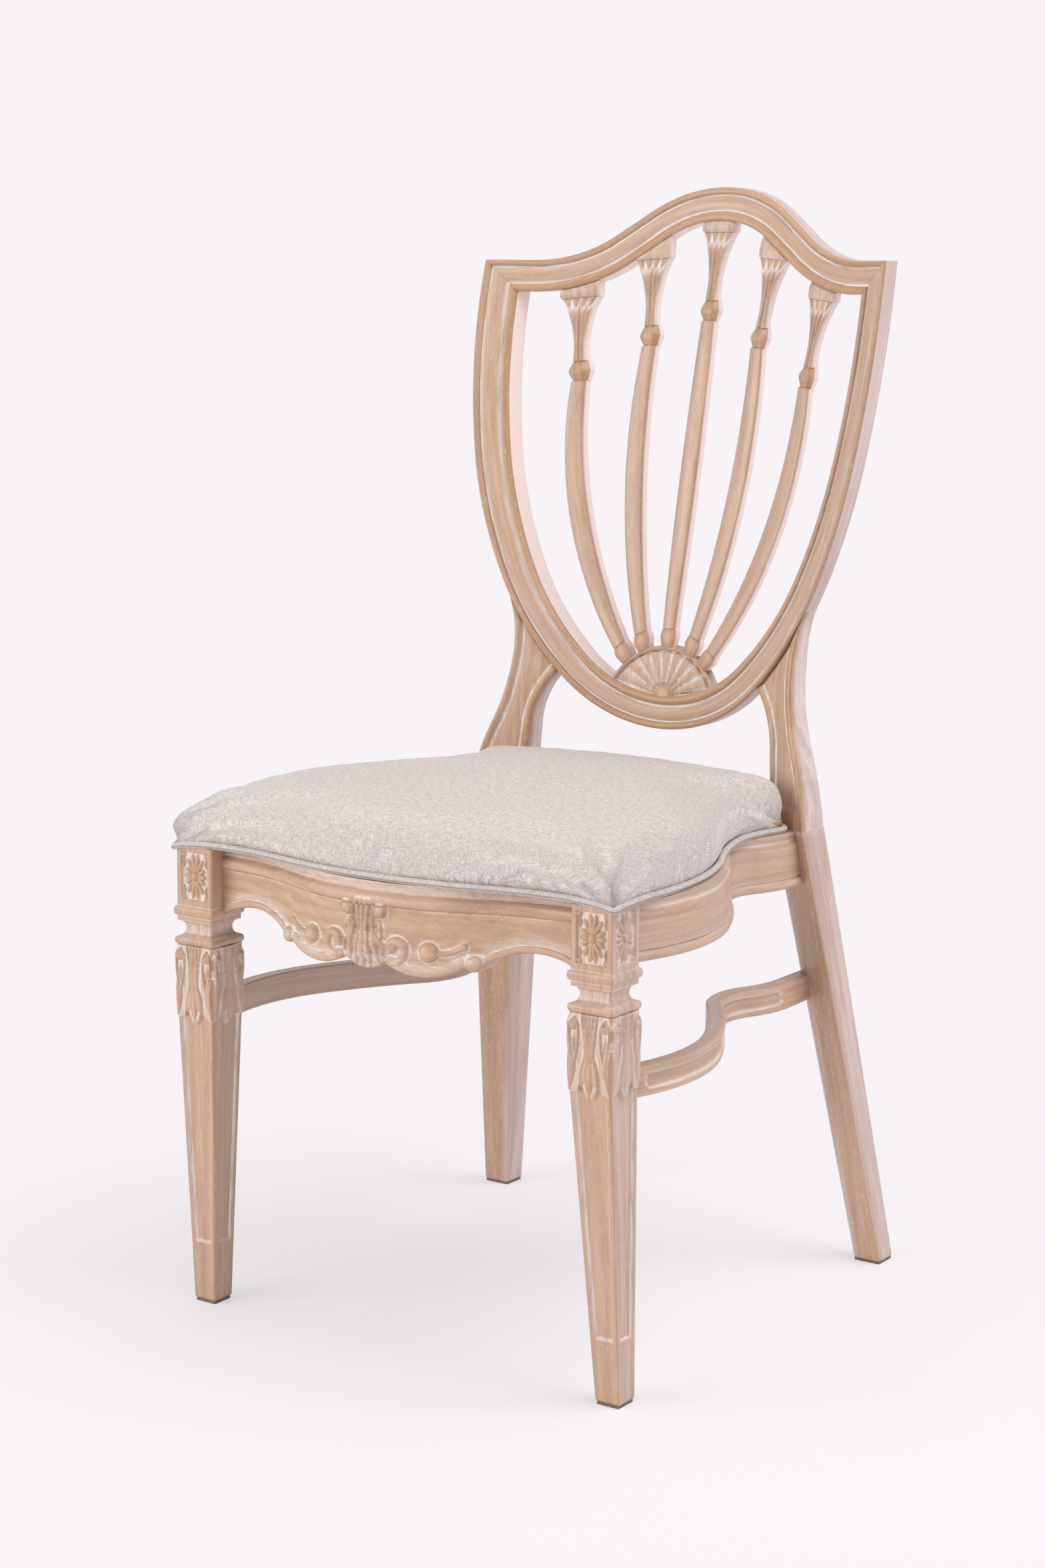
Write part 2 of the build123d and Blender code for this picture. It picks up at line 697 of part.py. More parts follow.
def rear_apron():
    """Straight board between the rear legs."""
    length = 2 * (POST_INNER_FOOT + REAR_APRON_TENON)
    board = Pos(0, rear_apron_middle()) * Rectangle(length, APRON_THICKNESS)
    return plan_prism(board, SEAT_FRAME_TOP - REAR_APRON_HEIGHT, SEAT_FRAME_TOP)


def build_frame(legs):
    other_front = mirror(legs["front"], about=Plane.YZ)
    other_rear = mirror(legs["rear"], about=Plane.YZ)
    rails = {
        "side_apron": side_rail(0, APRON_THICKNESS, SEAT_FRAME_TOP - SIDE_APRON_HEIGHT, SEAT_FRAME_TOP),
        "side_stretcher": side_rail(STRETCHER_INSET, STRETCHER_THICKNESS,
                                    STRETCHER_TOP - STRETCHER_HEIGHT, STRETCHER_TOP),
    }
    posts = [parts[f"back_post_{side}"] for side in SIDES]
    add("front_apron", biggest(front_apron() - [legs["front"], other_front]))
    add("rear_apron", biggest(rear_apron() - [legs["rear"], other_rear] - posts))
    for kind, rail in rails.items():
        rail = biggest(rail - [legs["front"], legs["rear"]] - posts)
        for side in SIDES:
            add(f"{kind}_{side}", on_side(rail, side))


# Dowels

def dowel_pair(node, first, last, radius, names):
    """A dowel on each side of the chair, with its holes in the pieces it joins."""
    for side in SIDES:
        parts.setdefault(node, []).append(on_side(rod(first, last, radius), side))
        hole = on_side(bore(first, last, radius), side)
        for name in names:
            cut(name.format(side=side), hole)


def rail_dowel(node, point, direction, height, names):
    """Level dowel centred on a point of the plan."""
    half = direction.normalized() * DOWEL_LENGTH / 2
    first = point - half
    last = point + half
    dowel_pair(node, (first.X, first.Y, height), (last.X, last.Y, height), DOWEL_RADIUS, names)


def meeting(point, direction, height):
    """Where a plan line runs into the front face of the rear leg."""
    outer, inner = rear_leg_front(height)
    face = inner - outer
    gap = outer - point
    reach = (gap.X * face.Y - gap.Y * face.X) / (direction.X * face.Y - direction.Y * face.X)
    return point + direction * reach


def build_dowels():
    first_height = SEAT_FRAME_TOP - DOWEL_SPACING / 2
    side_heights = (first_height, first_height - DOWEL_SPACING)
    front_heights = (first_height - 2 * DOWEL_RADIUS, first_height - DOWEL_SPACING - 2 * DOWEL_RADIUS)
    edges = side_edges()
    start_way = edges[0] % 0
    end_way = edges[-1] % 1
    for height in front_heights:
        end = Vector(LEG_INNER, FRONT_APRON_END + APRON_THICKNESS / 2)
        rail_dowel("front_apron_dowels", end, Vector(1, 0), height, ["front_apron", "front_leg_{side}"])
    for height in side_heights:
        front = edges[0] @ 0 + left_of(start_way) * APRON_THICKNESS / 2
        rail_dowel("side_apron_front_dowels", front, start_way, height,
                   ["side_apron_{side}", "front_leg_{side}"])
        line = edges[-1] @ 1 + left_of(end_way) * APRON_THICKNESS / 2
        rear = meeting(line, end_way, height)
        rail_dowel("side_apron_rear_dowels", rear, end_way, height,
                   ["side_apron_{side}", "rear_leg_{side}", "back_post_{side}", "rear_corner_block_{side}"])
        inner = Vector(rear_leg_front(height)[1].X, rear_apron_middle())
        rail_dowel("rear_apron_dowels", inner, Vector(1, 0), height - 2 * DOWEL_RADIUS,
                   ["rear_apron", "rear_leg_{side}", "back_post_{side}", "rear_corner_block_{side}"])
    height = STRETCHER_TOP - STRETCHER_HEIGHT / 2
    middle = STRETCHER_INSET + STRETCHER_THICKNESS / 2
    front = edges[0] @ 0 + left_of(start_way) * middle
    rail_dowel("stretcher_dowels", front, start_way, height, ["side_stretcher_{side}", "front_leg_{side}"])
    rear = meeting(edges[-1] @ 1 + left_of(end_way) * middle, end_way, height)
    rail_dowel("stretcher_dowels", rear, end_way, height, ["side_stretcher_{side}", "rear_leg_{side}"])


def build_back_dowels():
    depth = BACK_THICKNESS / 2
    half = DOWEL_LENGTH / 2
    mitre = EAR - INNER_EAR
    middle = (EAR + INNER_EAR) / 2
    across = left_of(mitre.normalized()) * half
    first = middle - across
    last = middle + across
    dowel_pair("mitre_dowels", back_point(first.X, first.Y, depth), back_point(last.X, last.Y, depth),
               DOWEL_RADIUS, ["shield_bow", "crest_rail"])
    edge = arc_chain((0, SHIELD_BOTTOM), 0, SHIELD_SIDE)[1]
    for share in POST_DOWEL_SHARES:
        point = edge @ share
        inward = left_of(edge % share) * POST_DOWEL_LENGTH / 2
        first = point - inward
        last = point + inward
        depth = (POST_SET_BACK + BACK_THICKNESS) / 2
        dowel_pair("post_dowels", back_point(first.X, first.Y, depth), back_point(last.X, last.Y, depth),
                   DOWEL_RADIUS, ["shield_bow", "back_post_{side}"])
    corners = [Vector(*corner) for corner in seam_corners()]
    outer = corners[0] + (corners[3] - corners[0]) * SEAM_BOLT_DEPTH_SHARE
    inner = corners[1] + (corners[2] - corners[1]) * SEAM_BOLT_DEPTH_SHARE
    for share in SEAM_BOLT_SHARES:
        point = outer + (inner - outer) * share
        dowel_pair("seam_bolts", (point.X, point.Y, SEAM_HEIGHT - BOLT_LENGTH / 2),
                   (point.X, point.Y, SEAM_HEIGHT + BOLT_LENGTH / 2), BOLT_RADIUS,
                   ["rear_leg_{side}", "back_post_{side}"])


# Corner blocks and the screws that hold the seat

def corner_plans():
    """Plan of the right front and right rear corner blocks, run on into the pieces they brace."""
    edges = side_edges()
    half = APRON_THICKNESS / 2

    def on_apron(edge, share):
        return edge @ share + left_of(edge % share) * half

    face = front_apron_band()[0]
    front_middle = Vector(0, half)
    front_apron_end = face[1] @ (1 - BLOCK_END_SHARE) + front_middle
    front_apron_far = face[1] @ CORNER_BLOCK_SHARE + front_middle
    leg_corner = Vector(LEG_INNER + half, LEG_REAR - half)
    front = [on_apron(edges[0], 1 - CORNER_BLOCK_SHARE), on_apron(edges[0], BLOCK_END_SHARE), leg_corner,
             front_apron_end, front_apron_far]
    rear_line = rear_apron_middle()
    leg_inner = rear_leg_front(SEAT_FRAME_TOP)[1]
    rear = [on_apron(edges[-1], 0.0), on_apron(edges[-1], 1.0), leg_inner + Vector(half, half),
            Vector(leg_inner.X, rear_line), Vector(leg_inner.X - REAR_BLOCK_REACH, rear_line)]
    return {"front": front, "rear": rear}


def build_corners():
    bottom = SEAT_FRAME_TOP - CORNER_BLOCK_HEIGHT
    screws = []
    for end, points in corner_plans().items():
        block = plan_prism(polygon([(point.X, point.Y) for point in points]), bottom, SEAT_FRAME_TOP)
        for name in (f"{end}_leg_right", f"{end}_apron", "side_apron_right", "back_post_right"):
            block = block - parts[name]
        block = biggest(block)
        open_edge = (points[0] + points[4]) / 2
        centre = open_edge + (points[2] - open_edge).normalized() * SCREW_EDGE
        tip = SEAT_FRAME_TOP + SCREW_BITE
        head = bottom - SCREW_HEAD
        foot = (centre.X, centre.Y, bottom)
        screw = rod(foot, (centre.X, centre.Y, tip), SCREW_RADIUS)
        screw += rod((centre.X, centre.Y, head), foot, SCREW_HEAD_RADIUS)
        hole = bore(foot, (centre.X, centre.Y, tip), SCREW_RADIUS)
        for side in SIDES:
            block_name = f"{end}_corner_block_{side}"
            add(block_name, on_side(block, side))
            for name in (block_name, "dust_cover", "seat_board"):
                cut(name, on_side(hole, side))
            screws.append(on_side(screw, side))
    add("seat_screws", screws)


# Seat pad

PAD_FRONT = FRONT_APRON_END - FRONT_APRON_BOW + PAD_FRONT_SET_BACK
PAD_BACK = seam_corners()[1][1] + PAD_BACK_REACH


def pad_edges():
    """Right half of the pad's widest line, from the front centre to the back centre."""
    seam_front = seam_corners()[0][1]
    nodes = [(LEG_OUTER - inset, LEG_FRONT + back) for inset, back in PAD_FRONT_EDGE]
    nodes += [(POST_OUTER_FOOT - inset, seam_front - lead) for inset, lead in PAD_REAR_EDGE]
    edges = arc_chain((0, PAD_FRONT), 0, nodes)
    side_end = edges[-1] @ 1
    side_way = edges[-1] % 1
    corner = side_end + left_of(side_way) * PAD_REAR_CORNER
    drop = PAD_BACK - corner.Y
    radius = (corner.X ** 2 + drop ** 2 - PAD_REAR_CORNER ** 2) / (2 * (drop - PAD_REAR_CORNER))
    back_centre = Vector(0, PAD_BACK - radius)
    corner_end = back_centre + (corner - back_centre).normalized() * radius
    edges.append(TangentArc(side_end, corner_end, tangent=side_way))
    edges.append(TangentArc(corner_end, (0, PAD_BACK), tangent=edges[-1] % 1))
    return edges


def pad_outline(inset):
    """Plan face of the pad, drawn in by an inset."""
    return make_face(mirrored(shifted(pad_edges(), inset)))


def cushion(skin):
    """Crowned pad with drawn-in sides, its surface lowered by a skin."""
    sections = []
    for height, inset in PAD_SECTION:
        sections.append(Pos(0, 0, SEAT_FRAME_TOP + height) * pad_outline(inset + skin))
    middle = (PAD_FRONT + PAD_BACK) / 2
    top = SEAT_FRAME_TOP + PAD_CROWN - skin
    crown = Pos(0, middle, top - PAD_CROWN_RADIUS) * Sphere(PAD_CROWN_RADIUS)
    return loft(sections) & crown


def build_pad():
    bottom, bottom_inset = PAD_SECTION[0]
    board_bottom = SEAT_FRAME_TOP + DUST_COVER_THICKNESS
    board_top = board_bottom + BOARD_THICKNESS
    everywhere = Rectangle(2 * REACH, 2 * REACH)
    filling = cushion(COVER_THICKNESS + FOAM_CLEARANCE)
    add("seat_cover", cushion(0) - cushion(COVER_THICKNESS))
    add("seat_board", filling & plan_prism(everywhere, board_bottom, board_top))
    add("seat_foam", filling - plan_prism(everywhere, bottom, board_top))
    lining = pad_outline(bottom_inset + DUST_COVER_MARGIN)
    add("dust_cover", plan_prism(lining, SEAT_FRAME_TOP, board_bottom))
    piping_inset = bottom_inset - PIPING_RADIUS - FOAM_CLEARANCE
    line = Pos(0, 0, SEAT_FRAME_TOP + PIPING_RADIUS) * pad_outline(piping_inset).face().outer_wire()
    section = Plane(origin=line @ 0, z_dir=line % 0) * Circle(PIPING_RADIUS)
    add("seat_piping", sweep(section, path=line))


build_ring()
build_posts()
build_splats(build_fan())
right_legs = build_legs()
build_frame(right_legs)
build_dowels()
build_back_dowels()
build_corners()
build_pad()
for name, tools in cuts.items():
    parts[name] = parts[name] - tools
for name, shape in parts.items():
    if isinstance(shape, list):
        parts[name] = Compound(children=shape)

boxes = [shape.bounding_box() for shape in parts.values()]
front = min(box.min.Y for box in boxes)
rear = max(box.max.Y for box in boxes)
os.makedirs("parts", exist_ok=True)
for name, shape in parts.items():
    export_step(Pos(0, -(front + rear) / 2, 0) * shape, f"parts/{name}.step")
print("moved back by", -(front + rear) / 2)
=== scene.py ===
"""Shield-back dining chair in limed oak with a linen seat: the looks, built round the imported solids.

Outlines are in millimetres, with depths measured from the front face of the front feet. Meshes are in metres.
"""
import math

import bmesh
import bpy
import numpy as np
from mathutils import Matrix, Vector


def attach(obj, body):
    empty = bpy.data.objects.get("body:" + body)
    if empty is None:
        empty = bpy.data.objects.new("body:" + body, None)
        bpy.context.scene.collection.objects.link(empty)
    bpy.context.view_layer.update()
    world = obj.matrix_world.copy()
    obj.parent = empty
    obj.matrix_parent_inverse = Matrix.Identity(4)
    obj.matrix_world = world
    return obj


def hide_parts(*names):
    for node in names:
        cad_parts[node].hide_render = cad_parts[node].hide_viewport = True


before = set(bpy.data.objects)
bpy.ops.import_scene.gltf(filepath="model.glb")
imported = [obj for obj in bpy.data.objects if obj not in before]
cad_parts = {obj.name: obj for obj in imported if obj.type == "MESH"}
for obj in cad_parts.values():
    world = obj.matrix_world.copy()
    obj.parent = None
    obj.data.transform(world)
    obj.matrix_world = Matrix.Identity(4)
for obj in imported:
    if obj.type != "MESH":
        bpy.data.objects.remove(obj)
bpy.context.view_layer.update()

# The part's own frame
METRES = 0.001
DEPTH_SHIFT = -240.854

# Camera and picture
IMAGE_LONG_SIDE = 2352
FOCAL_PIXELS = 4469.3
SENSOR = 36.0
CAMERA_PLACE = (1.46445, -2.17546, 0.90006)
CAMERA_AZIMUTH = 34.679
CAMERA_PITCH = 9.554
CAMERA_ROLL = 0.46

# Light and floor
SKY_LIGHT = (0.66, 0.655, 0.67, 1.0)
FLOOR_HALF = 30.0
# Name, place, target, width, height, power and colour of each lamp
LAMPS = [
    ("key", (1.7, 0.3, 2.9), (0.0, 0.0, 0.55), 2.0, 2.0, 50.0, (1.0, 0.98, 0.98)),
    ("front", (-1.6, -2.9, 1.45), (0.0, 0.0, 0.45), 2.4, 1.8, 54.0, (1.0, 0.99, 0.97)),
]

# Back
SHIELD_BOTTOM = 489.0
BEND_HEIGHT = 601.4
EAR_HEIGHT = 921.5
CREST_HEIGHT = 989.5
RAKE = math.radians(12.0)
BEND_DEPTH = 420.6
BACK_RADIUS = 378.0
LOWER_BEND_RADIUS = 900.0
SHIELD_HALF_WIDTH = 214.5
RING_WIDTH = 31.0
RING_DEPTH = 23.0
RING_STEP = 2.0
BEAD_POINTS = 11
SHIELD_SIDE = [(103.0, 531.0), (169.2, 626.0), (204.2, 742.3)]
CREST_SLOPE_SHARE = 0.83
CREST_CROWN_SHARE = 0.516
EAR_FLAT = 39.5
MITRE_EASE = 60.0
# Width of the ring's section, and of the beads along its outer and inner edges
CREST_SECTION = (31.0, 6.4, 8.4)
SIDE_SECTION = (28.6, 4.6, 5.8)
EAR_SLIMNESS = 0.6
# Painted shade on the ring's outer side, low down where it faces down and away from the light
LOW_SIDE_SHADE = 0.4

# Posts
SEAM_HEIGHT = 418.0
POST_SET_BACK = 3.0
POST_DEPTH = 30.0
POST_REAR_BEND_RADIUS = 550.0
# Foot, heading and nodes of each edge of a post
POST_OUTER = ((182.5, SEAM_HEIGHT), 95.0, [(166.4, 485.8), (152.1, 548.1), (167.0, 622.0)])
POST_INNER = ((137.0, SEAM_HEIGHT), 94.0, [(131.7, 486.3), (108.6, 538.0)])
POST_SIDE_DEPTH = 15.0
POST_TOP_DEPTH = 22.0
POST_PANEL_BOTTOM = 440.0
POST_FLUSH_DEPTH = 3.4
REAR_CHAMFER = 5.0
REAR_EASE = 1.5

# Fan and splats
FAN_RADIUS = 62.0
FAN_CENTRE = 504.4
FAN_HUB = 519.0
FAN_HUB_RADIUS = 10.5
FAN_PETALS = 10
FAN_SPREAD = math.radians(172)
FAN_SET_BACK = 2.0
SPLAT_DEPTH = 15.0
# Depth of a splat's back along its bud, shaft, knop, flare and band
SPLAT_BACK = (14.6, 14.4, 15.0, 14.4, 14.8)
# Width of a shaft at its foot, waist and top
SHAFT_WIDTHS = (10.0, 16.5, 12.5)
KNOP_HEIGHT = 19.0
KNOP_WIDTH = 19.4
NECK_WIDTH = 11.4
CAPITAL_WIDTH = 34.5
CAPITAL_BAND = 11.0
FLARE_LIFT = 8.0
FLARE_SWELL = 2.2
BAND_LIP = 1.0
BUD_LENGTH = 17.0
BUD_STATIONS = (0.0, 4.0, 9.5, 14.0, 16.0, 17.0)
BUD_SWELL = (0.2, 0.9, 2.1, 1.1, 0.5, -0.1)
BUD_ROWS, SHAFT_ROWS, KNOP_ROWS, FLARE_ROWS, BAND_ROWS = 22, 100, 21, 60, 20
SPLATS = {
    "centre": {"top": 0.0, "knop": (0.0, 92.5), "waist": (0.0, 231.0), "foot": (0.0, 67.0)},
    "inner": {"top": 66.5, "knop": (58.7, 91.3), "waist": (57.3, 237.8), "foot": (22.5, 63.0)},
    "outer": {"top": 132.0, "knop": (122.5, 88.9), "waist": (116.2, 238.6), "foot": (35.0, 53.0)},
}

# Seat frame and legs
SEAT_TOP = 417.0
GLIDE = 3.0
LEG_BLOCK = 40.0
LEG_OUTER = 226.0
LEG_FRONT = -18.6
FRONT_FOOT = 23.4
ROSETTE_HEIGHT = 391.0
BLOCK_BOTTOM = 364.0
UPPER_TORUS_FOOT = 355.4
HOLLOW_TOP = 350.6
HOLLOW_FOOT = 337.2
CAPITAL_TOP = 329.4
CAPITAL_FOOT = 267.4
CAPITAL_GROUND = 0.8
SHAFT_PANEL_FOOT = 53.0
# Outer and front edge, width and depth of a rear foot
REAR_FOOT = (225.6, 446.7, 28.0, 26.0)
SIDE_APRON_BOTTOM = 367.0
SIDE_FACE_TOP = 407.6
SIDE_FACE_FOOT = 376.2
SIDE_BEAD = 371.2
APRON_THICKNESS = 20.0
# Share along a side rail, and how far the rail stands out there
SIDE_WAVES = [(0.4155, 17.5), (0.6745, -21.5), (0.841, -18.8)]
SIDE_END = (12.2, -4.0)
SIDE_TOE_OUT = 29.5
STRETCHER = (254.0, 279.5)
STRETCHER_ROUND = 3.2
STRETCHER_THICKNESS = 15.0
STRETCHER_INSET = 2.0
RAIL_LEAD = 3.0
RAIL_END_DEPTH = 12.5
APRON_TAIL = 12.0
STRETCHER_TAIL = 42.0
GROOVE_HALF = 6.6
GROOVE_DEPTH = 3.4
GROOVE_ENDS = (14.0, 16.0)

LEG_INNER = LEG_OUTER - LEG_BLOCK
LEG_REAR = LEG_FRONT + LEG_BLOCK

# Front apron
APRON_END = -2.9
APRON_MIDDLE = -44.9
APRON_BAND = 402.6
APRON_STEP = 409.0
APRON_LINE = 397.0
APRON_SHADOW = 398.4
SCROLL_BALL = (95.5, 356.0, 6.8)
PENDANT_HALF = 21.0
PENDANT_FOOT = 344.0

# Seat pad, piping and lining
PAD_FRONT = -40.0
PAD_BACK = 386.0
PAD_MIDDLE = np.array([0.0, (PAD_FRONT + PAD_BACK) / 2])
PAD_FRONT_NODES = [(102.0, -26.5), (178.0, -16.0)]
PAD_CORNER = (235.0, -27.5)
PAD_SIDE_START = (230.5, 30.0)
PAD_SIDE_HEADING = 85.0
PAD_SIDE_NODES = [(194.7, 201.3), (164.9, 275.5), (168.0, 344.0)]
PAD_REAR_CORNER = 18.0
# Height over the seat frame, and inset from the widest line
PAD_SECTION = [(0.9, 5.0), (3.5, 5.0), (7.0, 4.6), (14.0, 1.8), (22.0, 0.0), (30.0, 0.4), (36.0, 1.8),
               (41.0, 4.0), (44.5, 7.0), (47.0, 11.0)]
PAD_TOP_SHARES = (0.94, 0.86, 0.75, 0.6, 0.42, 0.24, 0.08)
PAD_EDGE = 47.0
PAD_CROWN = 56.0
PAD_CROWN_SPREAD = 4400.0
PAD_CORNER_SPOT = (228.0, -20.0)
PAD_CORNER_FALL = 0.42
PAD_CORNER_REACH = 48.0
PAD_FALL_BASE = 7.0
PAD_POINTS = 300
PAD_VOXEL = 0.005
PAD_PRESSURE = 4.0
PAD_FRAMES = 20
PAD_HELD = 6.5
PAD_PUFF = 0.007
TUCK_BASE = 6.0
PIPING_RADIUS = 3.0
PIPING_INSET = 1.8
PIPING_POINTS = 600
PIPING_DROOP = 4.5
PIPING_CORNER_DRAW = 7.0
BIAS_CUT = 0.7071
LINING_SHARE = 0.92
LINING_LOW = 0.05
LINING_HIGH = 0.75
LINING_SAG = 1.2


def smooth(low, high, value):
    """Smooth step from 0 at low to 1 at high."""
    share = np.clip((value - low) / (high - low), 0.0, 1.0)
    return share * share * (3.0 - 2.0 * share)


def lerp(first, last, share):
    """The value at a share of the way between two."""
    return first + (last - first) * share


def bell(gap, width):
    """Bell curve that is 1 where the gap is 0."""
    return np.exp(-(gap / width) ** 2)


def dome(gap):
    """Half-round that is 1 where the gap is 0, and 0 from a gap of 1 outwards."""
    return np.sqrt(np.clip(1 - gap ** 2, 0, 1))


# Outlines

def chain(start, heading, nodes, step=4.0):
    """Points along tangent arcs that leave start at a heading in degrees, and the heading at each."""
    points = [np.array(start, float)]
    angles = [math.radians(heading)]
    for node in nodes:
        here = points[-1]
        angle = angles[-1]
        chord = np.array(node, float) - here
        length = math.hypot(*chord)
        half = math.remainder(math.atan2(chord[1], chord[0]) - angle, 2 * math.pi)
        straight = abs(half) < 1e-5
        count = max(2, round(length / step))
        for number in range(1, count + 1):
            share = number / count
            turn = 2 * half * share
            if straight:
                points.append(here + chord * share)
            else:
                radius = length / (2 * math.sin(half))
                across = math.sin(angle + turn) - math.sin(angle)
                along = math.cos(angle) - math.cos(angle + turn)
                points.append(here + radius * np.array([across, along]))
            angles.append(angle + turn)
    return np.array(points), np.array(angles)


def normals(angles):
    """Unit vectors to the left of each heading."""
    return np.stack([-np.sin(angles), np.cos(angles)], 1)


def lengths(points):
    """Distance along a line at each of its points."""
    steps = np.linalg.norm(np.diff(points, axis=0), axis=1)
    return np.concatenate([[0.0], np.cumsum(steps)])


def resample(points, count):
    """The line as evenly spaced points."""
    run = lengths(points)
    wanted = np.linspace(0, run[-1], count)
    return np.stack([np.interp(wanted, run, points[:, axis]) for axis in range(points.shape[1])], 1)


def soften(points, reach):
    """A line with its kinks rounded: each inner point moved to the mean of its neighbours."""
    for _ in range(reach):
        inner = (points[:-2] + 2 * points[1:-1] + points[2:]) / 4
        points = np.concatenate([points[:1], inner, points[-1:]])
    return points


def arc_through(first, middle, last, count):
    """Points on the circular arc through three points."""
    ax, ay = first
    bx, by = middle
    cx, cy = last
    turn = 2 * (ax * (by - cy) + bx * (cy - ay) + cx * (ay - by))
    if abs(turn) < 1e-6:
        return lerp(np.array(first), np.array(last), np.linspace(0, 1, count)[:, None])
    squares = [x * x + y * y for x, y in (first, middle, last)]
    ux = (squares[0] * (by - cy) + squares[1] * (cy - ay) + squares[2] * (ay - by)) / turn
    uy = (squares[0] * (cx - bx) + squares[1] * (ax - cx) + squares[2] * (bx - ax)) / turn
    radius = math.hypot(ax - ux, ay - uy)
    start, mid, end = (math.atan2(y - uy, x - ux) for x, y in (first, middle, last))
    mid_turn = math.remainder(mid - start, 2 * math.pi)
    end_turn = math.remainder(end - start, 2 * math.pi)
    if mid_turn * end_turn < 0 or abs(mid_turn) > abs(end_turn):
        end_turn -= math.copysign(2 * math.pi, end_turn)
    turns = start + end_turn * np.linspace(0, 1, count)
    return np.stack([ux + radius * np.cos(turns), uy + radius * np.sin(turns)], 1)


def distance_to(points, line):
    """Least distance from each point to a line of points."""
    best = np.full(points.shape[:-1], 1e9)
    for start, end in zip(line[:-1], line[1:]):
        way = end - start
        share = np.clip(((points - start) @ way) / max(way @ way, 1e-9), 0, 1)
        gap = np.linalg.norm(points - start - share[..., None] * way, axis=-1)
        best = np.minimum(best, gap)
    return best


# Back surfaces

def surface_depth(z, offset=0.0, bend=LOWER_BEND_RADIUS):
    """Depth of a back surface on the centre plane at a height."""
    bend_y = BEND_DEPTH + offset * math.cos(RAKE)
    bend_z = BEND_HEIGHT - offset * math.sin(RAKE)
    centre_y = bend_y + bend * math.cos(RAKE)
    centre_z = bend_z - bend * math.sin(RAKE)
    low = centre_y - np.sqrt(bend ** 2 - (np.minimum(z, bend_z) - centre_z) ** 2)
    return np.where(z >= bend_z, bend_y + (z - bend_z) * math.tan(RAKE), low)


def on_back(x, z, depth):
    """Points of the back at a depth behind its front surface."""
    y = surface_depth(z) + (np.sqrt((BACK_RADIUS + depth) ** 2 - x ** 2) - BACK_RADIUS) / math.cos(RAKE)
    return np.stack([x, y, z], -1)


def on_post_rear(x, z):
    """Points of the rear face of the posts."""
    radius = BACK_RADIUS + POST_DEPTH
    y = surface_depth(z, POST_DEPTH, POST_REAR_BEND_RADIUS)
    return np.stack([x, y + (np.sqrt(radius ** 2 - x ** 2) - radius) / math.cos(RAKE), z], -1)


# Meshes

def skin(name, rings, grain, lime_and_shade, blush_and_highlight, looped=False, sharp=42.0):
    """Closed mesh through rings of points, with its grain, lime and blush painted on its points."""
    rows, count = rings.shape[:2]
    index = np.arange(rows * count).reshape(rows, count)
    along = np.roll(index, -1, axis=0) if looped else index[1:]
    first = index if looped else index[:-1]
    quads = np.stack([first, np.roll(first, -1, axis=1), np.roll(along, -1, axis=1), along], -1)
    faces = quads.reshape(-1, 4).tolist()
    if not looped:
        faces.append(index[0][::-1].tolist())
        faces.append(index[-1].tolist())
    spots = rings.reshape(-1, 3) + np.array([0.0, DEPTH_SHIFT, 0.0])
    mesh = bpy.data.meshes.new(name)
    mesh.from_pydata((spots * METRES).tolist(), [], faces)
    paint(mesh, "grain", grain.reshape(-1, 3) * METRES)
    paint(mesh, "lime_and_shade", np.broadcast_to(lime_and_shade, rings.shape[:2]).ravel())
    paint(mesh, "blush_and_highlight", np.broadcast_to(blush_and_highlight, rings.shape[:2]).ravel())
    return finish_mesh(name, mesh, sharp)


def paint(mesh, name, values):
    """Stores a value or vector on each point of a mesh."""
    vector = values.ndim == 2
    layer = mesh.attributes.new(name, "FLOAT_VECTOR" if vector else "FLOAT", "POINT")
    layer.data.foreach_set("vector" if vector else "value", np.ascontiguousarray(values, np.float32).ravel())


def finish_mesh(name, mesh, sharp):
    """Turns the faces outwards, smooths them up to an angle and makes the object."""
    edit = bmesh.new()
    edit.from_mesh(mesh)
    bmesh.ops.recalc_face_normals(edit, faces=edit.faces)
    limit = math.radians(sharp)
    for face in edit.faces:
        face.smooth = True
    for edge in edit.edges:
        edge.smooth = edge.calc_face_angle(0.0) < limit
    edit.to_mesh(mesh)
    edit.free()
    piece = bpy.data.objects.new(name, mesh)
    bpy.context.scene.collection.objects.link(piece)
    return piece


def place(piece, material, slot, *nodes):
    """Gives a piece its material and the solids that it stands for. The slot is not used."""
    piece.data.materials.clear()
    piece.data.materials.append(material)
    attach(piece, "root")
    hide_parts(*nodes)


def oak_piece(node, rings, grain, lime_and_shade, blush_and_highlight, sharp=42.0):
    """A piece of limed oak that stands for one solid."""
    piece = skin(f"oak_{node}", rings, grain, lime_and_shade, blush_and_highlight, sharp=sharp)
    place(piece, OAK, "limed_oak", node)


def oak_pair(node, rings, grain, lime_and_shade, blush_and_highlight, sharp=42.0):
    """The right-hand piece and its mirror image, which is cut from another place in the wood."""
    oak_piece(f"{node}_right", rings, grain, lime_and_shade, blush_and_highlight, sharp)
    other_cut = grain + np.array([0.0, 0.0, 310.0])
    oak_piece(f"{node}_left", rings * np.array([-1.0, 1.0, 1.0]), other_cut, lime_and_shade, blush_and_highlight, sharp)


def plain_skin(name, rings, sharp, looped=False):
    """Closed mesh through rings of points, for a piece that isn't oak."""
    return skin(name, rings, np.zeros_like(rings), 0.0, 0.0, looped=looped, sharp=sharp)


def filled_out(values, filler, count):
    """Rows of values, each lengthened by some places that hold one number."""
    return np.concatenate([values, np.full((len(values), count), filler)], 1)


# Materials

